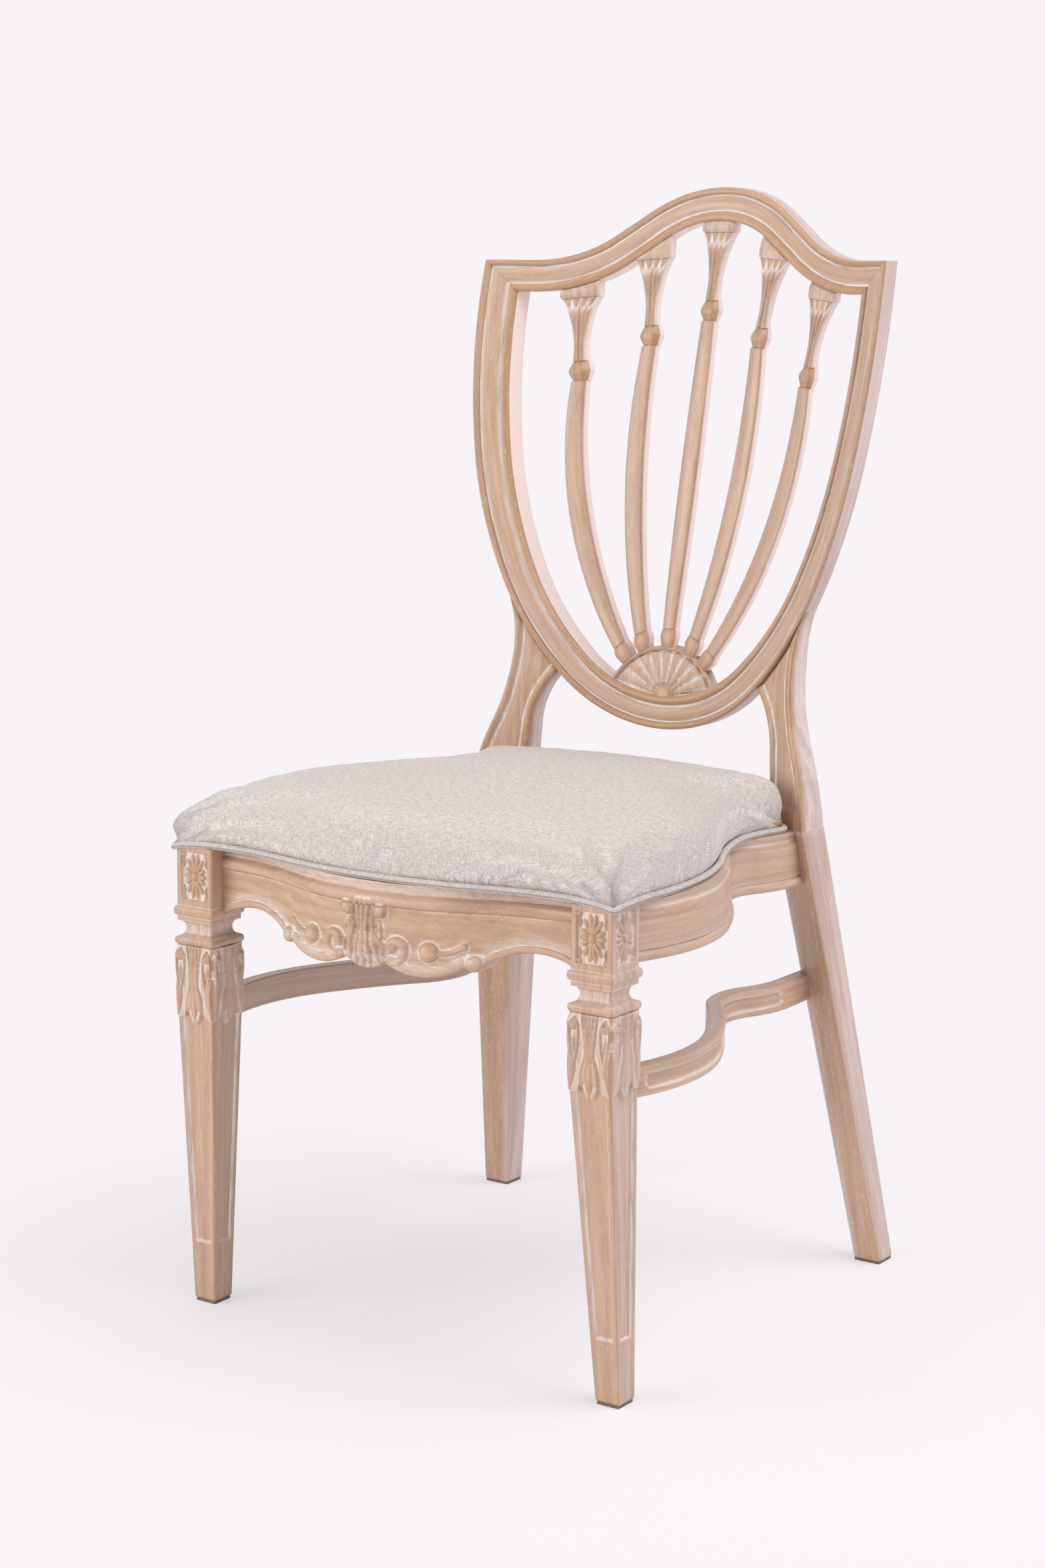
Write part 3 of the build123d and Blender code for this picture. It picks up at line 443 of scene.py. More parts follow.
class Graph:
    """Node tree of a new material, with its shader."""

    def __init__(self, name):
        self.material = bpy.data.materials.new(name)
        self.material.use_nodes = True
        self.tree = self.material.node_tree
        self.shader = self.tree.nodes["Principled BSDF"]

    def node(self, kind, settings=None, **inputs):
        made = self.tree.nodes.new(kind)
        for key, value in (settings or {}).items():
            setattr(made, key, value)
        for key, value in inputs.items():
            self.feed(made.inputs[key], value)
        return made

    def feed(self, socket, value):
        if isinstance(value, bpy.types.NodeSocket):
            self.tree.links.new(value, socket)
        else:
            socket.default_value = value

    def attribute(self, name, output):
        return self.node("ShaderNodeAttribute", {"attribute_name": name}).outputs[output]

    def scaled(self, vector, scale):
        return self.node("ShaderNodeMapping", Vector=vector, Scale=scale).outputs["Vector"]

    def noise(self, vector, scale, detail=2.0, roughness=0.5):
        made = self.node("ShaderNodeTexNoise", Vector=vector, Scale=scale, Detail=detail, Roughness=roughness)
        return made.outputs["Fac"]

    def remap(self, value, low, high, to_low=0.0, to_high=1.0):
        made = self.node("ShaderNodeMapRange", {"interpolation_type": "SMOOTHSTEP"}, Value=value)
        for key, number in (("From Min", low), ("From Max", high), ("To Min", to_low), ("To Max", to_high)):
            made.inputs[key].default_value = number
        return made.outputs["Result"]

    def wave(self, vector, direction, scale, distortion, detail):
        made = self.node("ShaderNodeTexWave", {"bands_direction": direction}, Vector=vector, Scale=scale,
                         Distortion=distortion, Detail=detail)
        return made.outputs["Fac"]

    def math(self, operation, first, second):
        made = self.node("ShaderNodeMath", {"operation": operation})
        self.feed(made.inputs[0], first)
        self.feed(made.inputs[1], second)
        return made.outputs["Value"]

    def mix(self, factor, first, second):
        made = self.node("ShaderNodeMix", {"data_type": "RGBA"})
        self.feed(made.inputs["Factor"], factor)
        self.feed(made.inputs["A"], first)
        self.feed(made.inputs["B"], second)
        return made.outputs["Result"]

    def bump(self, height, distance, strength=1.0):
        made = self.node("ShaderNodeBump", Height=height, Distance=distance, Strength=strength)
        self.feed(self.shader.inputs["Normal"], made.outputs["Normal"])

    def shade(self, **inputs):
        for key, value in inputs.items():
            self.feed(self.shader.inputs[key.replace("_", " ")], value)
        return self.material


def srgb(red, green, blue):
    """A screen colour, 0 to 255, as a linear colour."""
    linear = []
    for value in (red, green, blue):
        share = value / 255
        linear.append(share / 12.92 if share <= 0.04045 else ((share + 0.055) / 1.055) ** 2.4)
    return (*linear, 1.0)


def oak(name, painted):
    """Limed oak: tan wood with white wax in its pores and recesses.

    Lime above 0 is wax. Below 0 it is dark brown: glazed edges on the mouldings, and painted shade on faces
    turned from the light. Blush turns the wood mauve up to 1, the sides' own tone, and from 1 up to 2 it is a
    painted highlight in pale pink.
    """
    graph = Graph(name)
    if painted:
        grain = graph.attribute("grain", "Vector")
        lime_and_shade = graph.attribute("lime_and_shade", "Fac")
        blush_and_highlight = graph.attribute("blush_and_highlight", "Fac")
    else:
        grain = graph.node("ShaderNodeTexCoord").outputs["Object"]
        lime_and_shade = 0.1
        blush_and_highlight = 0.3
    streak = graph.noise(graph.scaled(grain, (5.0, 150.0, 150.0)), 1.0, 4.0, 0.6)
    broad = graph.noise(graph.scaled(grain, (4.0, 22.0, 22.0)), 1.0, 2.0, 0.5)
    waver = graph.wave(graph.scaled(grain, (3.0, 26.0, 26.0)), "Y", 1.1, 7.0, 2.0)
    pores = graph.noise(graph.scaled(grain, (110.0, 1500.0, 1500.0)), 1.0, 2.0, 0.6)
    flecks = graph.remap(pores, 0.58, 0.70)
    brushed = graph.noise(graph.scaled(grain, (28.0, 420.0, 420.0)), 1.0, 3.0, 0.65)
    wood = graph.mix(graph.remap(streak, 0.3, 0.7), srgb(176, 138, 107), srgb(200, 163, 132))
    wood = graph.mix(graph.remap(broad, 0.35, 0.7, 0.0, 0.5), wood, srgb(184, 145, 112))
    wood = graph.mix(graph.remap(waver, 0.6, 1.0, 0.0, 0.22), wood, srgb(158, 120, 89))
    pale = graph.mix(graph.remap(streak, 0.3, 0.7), srgb(197, 175, 172), srgb(228, 211, 211))
    wood = graph.mix(blush_and_highlight, wood, pale)
    # Painted highlight: blush from 1 to 2 lightens a side to pale pink, as if strongly lit.
    wood = graph.mix(graph.remap(blush_and_highlight, 1.0, 2.0), wood, srgb(248, 227, 219))
    # Negative values mix in dark brown: glazed moulding edges, and painted shade on faces turned from the
    # light.
    wood = graph.mix(graph.remap(lime_and_shade, 0.0, -1.0, 0.0, 0.75), wood, srgb(138, 102, 78))
    wash = graph.math("MULTIPLY", lime_and_shade, graph.remap(brushed, 0.3, 0.62, 0.45, 1.25))
    white = graph.math("MAXIMUM", wash, graph.math("MULTIPLY", flecks, 0.46))
    colour = graph.mix(white, wood, srgb(237, 231, 226))
    relief = graph.math("ADD", graph.math("MULTIPLY", flecks, -0.3), graph.math("MULTIPLY", streak, 0.35))
    graph.bump(relief, 0.0003)
    rough = graph.remap(white, 0.0, 1.0, 0.34, 0.62)
    return graph.shade(Base_Color=colour, Roughness=rough)


def linen(name, shade=1.0):
    """Heathered plain weave in pale grey beige yarns."""
    graph = Graph(name)
    cloth = graph.attribute("cloth", "Vector")
    warp = graph.wave(cloth, "X", 290.0, 0.6, 1.0)
    weft = graph.wave(cloth, "Y", 290.0, 0.6, 1.0)
    warp_slub = graph.noise(graph.scaled(cloth, (1000.0, 150.0, 900.0)), 1.0, 2.0, 0.6)
    weft_slub = graph.noise(graph.scaled(cloth, (150.0, 1000.0, 900.0)), 1.0, 2.0, 0.6)
    over = graph.noise(graph.scaled(cloth, (760.0, 760.0, 760.0)), 1.0, 1.0, 0.5)
    yarn = graph.math("ADD", graph.math("MULTIPLY", warp_slub, 0.5), graph.math("MULTIPLY", weft_slub, 0.5))
    weave = graph.math("MULTIPLY", warp, weft)
    base = graph.mix(graph.remap(yarn, 0.38, 0.62), srgb(196, 186, 180), srgb(240, 233, 229))
    base = graph.mix(graph.remap(weave, 0.0, 0.5, 0.40, 0.0), base, srgb(172, 161, 156))
    base = graph.mix(graph.remap(over, 0.5, 0.75, 0.0, 0.35), base, srgb(246, 241, 237))
    height = graph.math("ADD", graph.math("MAXIMUM", warp, weft), graph.math("MULTIPLY", yarn, 0.7))
    graph.bump(height, 0.00035, 0.8)
    # Painted shade: below 1, shade darkens the cloth towards grey brown.
    if shade < 1.0:
        base = graph.mix(1.0 - shade, base, srgb(150, 138, 131))
    return graph.shade(Base_Color=base, Roughness=0.92, Specular_IOR_Level=0.15, Sheen_Weight=0.15)


def plain_grain(name, dark, light, scale, roughness, metallic=0.0):
    """Simple procedural material for the pieces inside and underneath."""
    graph = Graph(name)
    where = graph.node("ShaderNodeTexCoord").outputs["Object"]
    mottle = graph.noise(graph.scaled(where, scale), 1.0, 4.0, 0.6)
    colour = graph.mix(graph.remap(mottle, 0.3, 0.7), dark, light)
    graph.bump(mottle, 0.0002, 0.5)
    return graph.shade(Base_Color=colour, Roughness=roughness, Metallic=metallic)


OAK = oak("limed_oak", True)
OAK_PLAIN = oak("limed_oak_plain", False)
LINEN = linen("linen")
# The piping's linen is darkened with painted shade.
PIPING_LINEN = linen("linen_piping", 0.88)
INNER = {
    "block": plain_grain("corner_wood", srgb(190, 156, 116), srgb(216, 186, 146), (60.0, 60.0, 9.0), 0.7),
    "dowel": plain_grain("dowel_wood", srgb(198, 168, 128), srgb(222, 196, 158), (90.0, 90.0, 20.0), 0.65),
    "plywood": plain_grain("plywood", srgb(186, 152, 112), srgb(212, 182, 140), (8.0, 70.0, 400.0), 0.7),
    "lining": plain_grain("lining", srgb(32, 32, 33), srgb(52, 51, 51), (900.0, 900.0, 900.0), 0.95),
    "steel": plain_grain("steel", srgb(150, 150, 152), srgb(186, 186, 188), (300.0, 300.0, 40.0), 0.35, 1.0),
    "glide": plain_grain("glide", srgb(104, 90, 79), srgb(128, 112, 99), (400.0, 400.0, 400.0), 0.6),
}


# Shield ring

def round_run(start, end, top, drop, lime_ends):
    """Half-round run of a profile: (across, depth, lime) points."""
    run = []
    for turn in np.linspace(0, math.pi, BEAD_POINTS):
        low = 1 - math.sin(turn)
        run.append((lerp(start, end, (1 - math.cos(turn)) / 2), top + drop * low, lime_ends * low ** 2))
    return run


def ring_profile(width, outer, inner):
    """Section of the ring, across its front and then round its back: (across, depth, lime, blush)."""
    front = round_run(0.0, outer, 0.2, 3.4, -0.7)
    front += [(outer + 0.3, 3.7, 0.8), (outer + 1.5, 3.4, 1.0)]
    near = outer + 1.8
    far = width - inner - 1.8
    for share in np.linspace(-1, 1, 13):
        depth = 1.1 + 0.9 * share ** 2 + 0.9 * share ** 8
        front.append(((near + far) / 2 + (far - near) / 2 * share, depth, 0.14 + 0.66 * share ** 10))
    front += [(width - inner - 1.5, 3.4, 1.0), (width - inner - 0.3, 3.7, 0.8)]
    front += round_run(width - inner, width, 0.4, 3.2, -0.35)
    rear = RING_DEPTH
    profile = [(across, depth, lime_and_shade, 0.0) for across, depth, lime_and_shade in front]
    # Blush of 1.8 on the inner side is a painted highlight; the outer side and back keep the mauve tone below
    # 1.
    profile += [(width, depth, 0.1, 1.8) for depth in (4.4, 12.0, 19.0, rear - 1.7)]
    profile += [(width - 0.5, rear - 0.5, 0.1, 0.6), (width - 2.2, rear, 0.05, 0.3)]
    profile += [(width * share, rear, 0.0, 0.3) for share in (0.65, 0.35)]
    profile += [(2.2, rear, 0.05, 0.3), (0.5, rear - 0.5, 0.1, 0.5)]
    profile += [(0.0, depth, 0.05, 0.75) for depth in (rear - 1.7, 19.0, 12.0, 5.5)]
    return np.array(profile)


SIDE_NODES = SHIELD_SIDE + [(SHIELD_HALF_WIDTH, EAR_HEIGHT)]
SIDE_POINTS, SIDE_ANGLES = chain((0, SHIELD_BOTTOM), 0, SIDE_NODES, step=RING_STEP)


def crest_line():
    """Outer edge of the crest from the right ear to the middle."""
    flat_end = SHIELD_HALF_WIDTH - EAR_FLAT
    rise = CREST_HEIGHT - EAR_HEIGHT
    slope = CREST_SLOPE_SHARE * 2 * math.atan2(rise, flat_end)
    radii = (flat_end * math.sin(slope) - rise * math.cos(slope)) / (1 - math.cos(slope))
    crown = radii * CREST_CROWN_SHARE
    hollow = radii - crown
    nodes = [
        (flat_end, EAR_HEIGHT),
        (flat_end - hollow * math.sin(slope), EAR_HEIGHT + hollow * (1 - math.cos(slope))),
        (crown * math.sin(slope), CREST_HEIGHT - crown * (1 - math.cos(slope))),
        (0, CREST_HEIGHT),
    ]
    return chain((SHIELD_HALF_WIDTH, EAR_HEIGHT), 180, nodes, step=RING_STEP)


CREST_POINTS, CREST_ANGLES = crest_line()
EAR = np.array([SHIELD_HALF_WIDTH, EAR_HEIGHT])


def inner_ear():
    """Corner of the opening under the right ear."""
    inner = SIDE_POINTS + normals(SIDE_ANGLES) * RING_WIDTH
    height = EAR_HEIGHT - RING_WIDTH
    upper = inner[:, 1] > BEND_HEIGHT
    return np.array([np.interp(height, inner[upper, 1], inner[upper, 0]), height])


MITRE = inner_ear() - EAR


def inward(points, angles, corner):
    """Direction across the ring at each point, turned to the mitre near the ear."""
    tangent = np.stack([np.cos(angles), np.sin(angles)], 1)
    gap = np.linalg.norm(points - points[corner], axis=1)
    ease = np.clip(1 - gap / MITRE_EASE, 0, 1) ** 2
    skew = (MITRE @ tangent[corner]) / RING_WIDTH
    return normals(angles) + tangent * (skew * ease)[:, None]


SIDE_ACROSS = inward(SIDE_POINTS, SIDE_ANGLES, -1)
CREST_ACROSS = inward(CREST_POINTS, CREST_ANGLES, 0)
BOW_INNER = SIDE_POINTS + SIDE_ACROSS * RING_WIDTH
CREST_INNER = CREST_POINTS + CREST_ACROSS * RING_WIDTH


def whole(half):
    """A right-hand line from the middle outwards, run on from the left."""
    return np.concatenate([half[:0:-1] * np.array([-1.0, 1.0]), half])


def mirrored(half):
    """Values from the middle outwards, run on from the left."""
    return np.concatenate([half[:0:-1], half])


def ring_piece(node, half_points, half_across, slimness, low_side_shade):
    """Part of the ring: its section, slimmer up the sides, carried along an outer edge."""
    points = whole(half_points)
    slim = mirrored(slimness)[:, None, None]
    profile = lerp(ring_profile(*CREST_SECTION)[None], ring_profile(*SIDE_SECTION)[None], slim)
    spots = points[:, None, :] + whole(half_across)[:, None, :] * profile[..., :1]
    rings = on_back(spots[..., 0], spots[..., 1], profile[..., 1])
    run = np.broadcast_to(lengths(points)[:, None], rings.shape[:2])
    grain = np.stack([run, profile[..., 0], profile[..., 1]], -1)
    outside = (profile[..., 0] < 0.01) & (profile[..., 1] > 5.0)
    # Painted shade: the outer side of the bow is darkened low down.
    lime_and_shade = profile[..., 2] - mirrored(low_side_shade)[:, None] * outside
    oak_piece(node, rings, grain, lime_and_shade, profile[..., 3])


def build_ring():
    run = lengths(SIDE_POINTS)
    share = run / run[-1]
    slim = smooth(0.05, 0.4, share) * lerp(1.0, EAR_SLIMNESS, smooth(0.75, 1.0, share))
    low_side_shade = LOW_SIDE_SHADE * (1 - smooth(0.4, 0.75, share))
    ring_piece("shield_bow", SIDE_POINTS, SIDE_ACROSS, slim, low_side_shade)
    run = lengths(CREST_POINTS)
    slim = EAR_SLIMNESS * (1 - smooth(0.0, 0.5, run / run[-1]))[::-1]
    ring_piece("crest_rail", CREST_POINTS[::-1], CREST_ACROSS[::-1], slim, np.zeros_like(slim))


# Posts

def cut_at_shield(line):
    """The part of a line before it runs into the shield's outer edge."""
    inside = []
    for point in line:
        nearest = np.argmin(np.linalg.norm(SIDE_POINTS - point, axis=1))
        inside.append((point - SIDE_POINTS[nearest]) @ normals(SIDE_ANGLES)[nearest])
    inside = np.array(inside)
    stop = int(np.argmax(inside > 0))
    share = inside[stop - 1] / (inside[stop - 1] - inside[stop])
    end = lerp(line[stop - 1], line[stop], share)
    return np.concatenate([line[:stop], [end]])


def post_relief(edge, to_joint, height):
    """Depth and lime of a post's face: beads along its edges and a sunk, swelling panel between them."""
    panel = smooth(6.2, 7.6, edge) * smooth(POST_PANEL_BOTTOM - 1, POST_PANEL_BOTTOM + 1.5, height)
    bead = dome((edge - 3.2) / 3.4)
    beaded = smooth(POST_PANEL_BOTTOM - 8, POST_PANEL_BOTTOM, height)
    crease = bell(to_joint, 1.4)
    swell = 0.7 * np.sin(math.pi * np.clip((edge - 7) / 18, 0, 0.5))
    depth = POST_SET_BACK + (2.9 - swell) * panel + (1 - panel) * beaded * 2.6 * (1 - bead) + 1.6 * crease
    depth = np.where(edge < 0.3, np.maximum(depth, POST_SET_BACK + 2.2), depth)
    groove = bell(edge - 7.4, 1.1) * smooth(POST_PANEL_BOTTOM - 1, POST_PANEL_BOTTOM + 2, height)
    lime_and_shade = np.clip(0.85 * groove + 0.12 * panel, 0, 1) - 0.6 * crease - 0.4 * bell(edge, 1.2)
    return depth, lime_and_shade


def build_posts():
    rows, count, joint_count = 90, 41, 400
    inner = resample(cut_at_shield(chain(*POST_INNER, step=1.0)[0]), rows)
    outer = resample(cut_at_shield(chain(*POST_OUTER, step=1.0)[0]), rows)
    first = np.argmin(np.linalg.norm(SIDE_POINTS - inner[-1], axis=1))
    last = np.argmin(np.linalg.norm(SIDE_POINTS - outer[-1], axis=1))
    joint = np.concatenate([[inner[-1]], SIDE_POINTS[first + 1:last], [outer[-1]]])
    share = 0.5 - 0.5 * np.cos(np.linspace(0, math.pi, count))
    share = 0.6 * share + 0.4 * np.linspace(0, 1, count)
    top = resample(joint, joint_count)[np.round(share * (joint_count - 1)).astype(int)]
    rise = np.linspace(0, 1, rows)
    spots = lerp(inner[:, None, :], outer[:, None, :], share[None, :, None])
    bow = top - lerp(inner[-1], outer[-1], share[:, None])
    spots = spots + (rise ** 4)[:, None, None] * bow[None]
    to_outer = distance_to(spots, outer)
    edge = np.minimum(to_outer, distance_to(spots, inner))
    depth, lime_and_shade = post_relief(edge, distance_to(spots, joint), spots[..., 1])
    flush = smooth(0.8, 1.0, rise)[:, None] * bell(to_outer, 4.0)
    front = on_back(spots[..., 0], spots[..., 1], lerp(depth, POST_FLUSH_DEPTH, flush))
    middle_in = on_back(inner[:, 0], inner[:, 1], POST_SIDE_DEPTH)
    middle_out = on_back(outer[:, 0], outer[:, 1], POST_SIDE_DEPTH)
    slim = smooth(0.72, 1.0, rise)[:, None]
    rear_in = on_post_rear(inner[:, 0] + REAR_CHAMFER * (1 - slim[:, 0]), inner[:, 1])
    rear_in = lerp(rear_in, on_back(rear_in[:, 0], rear_in[:, 2], POST_TOP_DEPTH), slim)
    rear_out = on_post_rear(outer[:, 0] - REAR_EASE, outer[:, 1])
    rear_out = lerp(rear_out, on_back(rear_out[:, 0], rear_out[:, 2], POST_TOP_DEPTH), slim)
    rear_edge = lerp(middle_out, rear_out, 0.93)
    rear_edge[:, 0] = outer[:, 0]
    behind = np.stack([middle_out, rear_edge, rear_out, rear_in, middle_in], 1)
    rings = np.concatenate([front, behind], 1)
    run = np.broadcast_to((rise * 160)[:, None], rings.shape[:2])
    wide = np.concatenate([spots[..., 0], np.repeat(outer[:, :1], 3, 1), np.repeat(inner[:, :1], 2, 1)], 1)
    grain = np.stack([run, wide, rings[..., 1] * 0.6], -1)
    oak_pair("back_post", rings, grain, filled_out(lime_and_shade, 0.08, 5), filled_out(0 * depth, 0.8, 5))


# Fan and splats

def crest_underside(x):
    """Height of the opening's upper edge."""
    return np.interp(np.abs(x), CREST_INNER[::-1, 0], CREST_INNER[::-1, 1])


def bow_upside(x):
    """Height of the opening's lower edge."""
    low = BOW_INNER[:, 1] < 700
    return np.interp(np.abs(x), BOW_INNER[low, 0], BOW_INNER[low, 1])


def build_fan():
    rows, count = 70, 121
    reach = np.linspace(0, FAN_RADIUS - 0.1, 600)
    half = reach[FAN_CENTRE + np.sqrt(FAN_RADIUS ** 2 - reach ** 2) > bow_upside(reach) + 0.6][-1]
    x = np.linspace(-half, half, count)
    low = bow_upside(x) - 0.5
    high = FAN_CENTRE + np.sqrt(FAN_RADIUS ** 2 - x ** 2)
    z = lerp(low[None], high[None], np.linspace(0, 1, rows)[:, None])
    xx = np.broadcast_to(x, z.shape)
    reach = np.hypot(xx, z - FAN_HUB)
    turn = np.arctan2(xx, z - FAN_HUB)
    rim_gap = FAN_RADIUS - np.hypot(xx, z - FAN_CENTRE)
    ridge = np.abs(np.cos(math.pi * (turn / FAN_SPREAD * FAN_PETALS))) ** 0.55
    in_petal = smooth(-0.6, 0.8, rim_gap - 5.0 - 2.2 * (1 - ridge)) * smooth(9, 14, reach)
    hub = dome(reach / FAN_HUB_RADIUS)
    rim = dome((rim_gap - 2.0) / 2.2)
    ground = (1 - in_petal) * (1 - rim) * (reach > FAN_HUB_RADIUS)
    depth = FAN_SET_BACK + 4.6 - in_petal * (0.6 + 3.0 * ridge) - 4.2 * hub - 4.0 * rim
    lime_and_shade = np.clip(1.2 * (1 - ridge) * in_petal + 0.5 * ground + 0.06, 0, 1) - 0.15 * bell(rim_gap, 0.9)
    front = on_back(xx, z, depth)
    back = on_back(xx[:, ::-1], z[:, ::-1], SPLAT_DEPTH)[:, ::8]
    rings = np.concatenate([front, back], 1)
    behind = back.shape[1]
    blush_and_highlight = filled_out(0 * lime_and_shade, 0.8, behind)
    oak_piece("fan_boss", rings, rings[..., [2, 0, 1]], filled_out(lime_and_shade, 0.05, behind), blush_and_highlight)


def splat_edge(top, knop, waist, foot, side):
    """One edge of a splat from its foot to the crest, as five runs: bud, shaft, knop, flare and band."""
    length = np.linalg.norm(top - knop)
    axis = (top - knop) / length
    square = np.array([axis[1], -axis[0]]) * side
    shaft = (waist - foot) / np.linalg.norm(waist - foot)
    shaft_square = np.array([shaft[1], -shaft[0]]) * side
    foot_width, waist_width, top_width = SHAFT_WIDTHS

    def station(along, half):
        return knop + axis * along + square * half

    low = foot + shaft_square * foot_width / 2
    middle = waist + np.array([side * waist_width / 2, 0.0])
    line = arc_through(low, middle, station(0, top_width / 2), 1200)
    clear = np.hypot(line[:, 0], line[:, 1] - FAN_CENTRE) > FAN_RADIUS - 1.0
    line = line[int(np.argmax(clear)):]
    run = lengths(line)
    bud_run = np.linspace(0, BUD_LENGTH, BUD_ROWS)
    bud = np.stack([np.interp(bud_run, run, line[:, 0]), np.interp(bud_run, run, line[:, 1])], 1)
    bud = bud + shaft_square * np.interp(bud_run, BUD_STATIONS, BUD_SWELL)[:, None]
    shaft_line = resample(line[run > BUD_LENGTH + 0.2], SHAFT_ROWS)
    knop_foot = station(0.2, top_width / 2 + 0.8)
    widest = station(KNOP_HEIGHT / 2, KNOP_WIDTH / 2)
    neck = station(KNOP_HEIGHT, NECK_WIDTH / 2)
    rise = np.linspace(0, 2, KNOP_ROWS)[:, None]
    knop_line = np.where(rise < 1, lerp(knop_foot, widest, rise), lerp(widest, neck + square * 1.2, rise - 1))
    band_foot = length - CAPITAL_BAND
    flare_middle = station((KNOP_HEIGHT + band_foot) / 2 + FLARE_LIFT, NECK_WIDTH / 2 + FLARE_SWELL)
    flare_end = station(band_foot, CAPITAL_WIDTH / 2 - BAND_LIP)
    flare = arc_through(neck, flare_middle, flare_end, FLARE_ROWS)
    band_end = station(length + CAPITAL_BAND, CAPITAL_WIDTH / 2)
    band = lerp(flare_end + square * BAND_LIP, band_end, np.linspace(0, 1, 400)[:, None])
    band = resample(band[band[:, 1] < crest_underside(band[:, 0]) + 0.6], BAND_ROWS)
    return [bud, shaft_line, knop_line, flare, band]


def splat_relief(kind, share, q):
    """Depth and lime of a splat's front by its five runs: a share up each, and q from -1 to 1 across."""
    arch = 1 - np.sqrt(1 - (0.82 * q) ** 2)
    flat = 0 * q * share
    from_middle = np.abs(2 * share - 1)
    facet = np.clip((np.abs(q) - 0.5) / 0.5, 0, 1)
    bud = 1.0 + 3.4 * arch + 1.2 * from_middle ** 3
    shaft = 1.4 + 3.0 * arch
    shaft_lime = 0.12 - 0.55 * np.abs(q) ** 14
    knop = 0.2 + 4.0 * facet + 3.0 * np.clip((from_middle - 0.25) / 0.75, 0, 1)
    pair = np.abs(np.sin(math.pi * q)) ** 0.55
    four = np.abs(np.sin(2 * math.pi * q)) ** 0.6
    lobe = lerp(pair, four, smooth(0.2, 0.7, share))
    tip = smooth(0.80, 0.97, share + 0.16 * lobe - 0.08)
    flute = 1.0 + 3.2 * (1 - lobe) * (1 - 0.5 * tip) + 2.0 * tip + 0.8 * arch
    flute_lime = 0.03 + 0.8 * (1 - lobe) ** 1.5 + 0.5 * tip * (1 - tip) * 4
    roll = dome(from_middle)
    reed = np.abs(np.sin(16 * math.pi * (q + 1) / 2))
    band = 0.1 + 4.2 * (1 - roll) + 0.8 * (1 - reed) + 1.2 * np.abs(q) ** 8
    band_lime = 0.08 + 0.5 * (1 - reed) * roll + 0.5 * (1 - roll)
    runs = [kind == number for number in range(4)]
    depth = np.select(runs, [bud, shaft + flat, knop, flute], band)
    lime_and_shade = np.select(runs, [flat - 0.1 * arch, shaft_lime + flat, flat - 0.25 * facet, flute_lime], band_lime)
    return depth, np.clip(lime_and_shade, -1, 1)


def build_splats():
    counts = (BUD_ROWS, SHAFT_ROWS, KNOP_ROWS, FLARE_ROWS, BAND_ROWS)
    kinds = np.repeat(np.arange(5), counts)
    shares = np.concatenate([np.linspace(0, 1, count) for count in counts])
    rows = len(kinds)
    q = np.sin(np.linspace(-math.pi / 2, math.pi / 2, 37)) * 0.45 + np.linspace(-1, 1, 37) * 0.55
    across = (q + 1) / 2
    back = np.array(SPLAT_BACK)[kinds]
    back = np.where(kinds == 2, SPLAT_DEPTH - 0.8 * np.abs(2 * shares - 1) ** 1.3, back)
    for kind_name, sizes in SPLATS.items():
        height = float(crest_underside(sizes["top"]))
        top = np.array([sizes["top"], height])
        knop = np.array([sizes["knop"][0], height - sizes["knop"][1]])
        waist = np.array([sizes["waist"][0], SHIELD_BOTTOM + sizes["waist"][1]])
        foot = np.array([sizes["foot"][0], SHIELD_BOTTOM + sizes["foot"][1]])
        left, right = (np.concatenate(splat_edge(top, knop, waist, foot, side)) for side in (-1.0, 1.0))
        way = (right - left) / np.linalg.norm(right - left, axis=1)[:, None]
        spots = lerp(left[:, None], right[:, None], across[None, :, None])
        lift = np.where(kinds == 4, shares, 0.0)[:, None]
        ends = lerp(crest_underside(left[-1, 0]), crest_underside(right[-1, 0]), across)
        spots[..., 1] += lift * (crest_underside(spots[-1, :, 0]) - ends)[None]
        depth, lime_and_shade = splat_relief(kinds[:, None], shares[:, None], q[None, :])
        front = on_back(spots[..., 0], spots[..., 1], depth)
        sides = []
        for edge, inset, level in ((right, 0.0, 0.5), (right, 0.0, 0.9), (right, 1.3, 1.0),
                                   (left, -1.3, 1.0), (left, 0.0, 0.9), (left, 0.0, 0.5)):
            spot = edge - way * inset
            sides.append(on_back(spot[:, 0], spot[:, 1], back * level))
        rings = np.concatenate([front, np.stack(sides, 1)], 1)
        run = np.broadcast_to(lengths((left + right) / 2)[:, None], rings.shape[:2])
        edges = np.tile([8.0, 8.0, 5.0, -5.0, -8.0, -8.0], (rows, 1))
        wide = np.concatenate([np.broadcast_to(q * 8, depth.shape), edges], 1)
        grain = np.stack([run + sizes["top"] * 3, wide + sizes["top"], rings[..., 1] * 0.5], -1)
        lime_and_shade = filled_out(lime_and_shade, 0.1, 6)
        # Blush of 1.9 on both sides of each splat is a painted highlight; 0.6 on the back is its mauve tone.
        blush_and_highlight = np.concatenate([0 * depth, np.tile([1.9, 1.9, 0.6, 0.6, 1.9, 1.9], (rows, 1))], 1)
        build = oak_piece if kind_name == "centre" else oak_pair
        build(f"splat_{kind_name}", rings, grain, lime_and_shade, blush_and_highlight, sharp=30.0)


# Carving

def ball(u, v, centre, radius, height):
    """Height of a round knob."""
    return height * dome(np.hypot(u - centre[0], v - centre[1]) / radius)


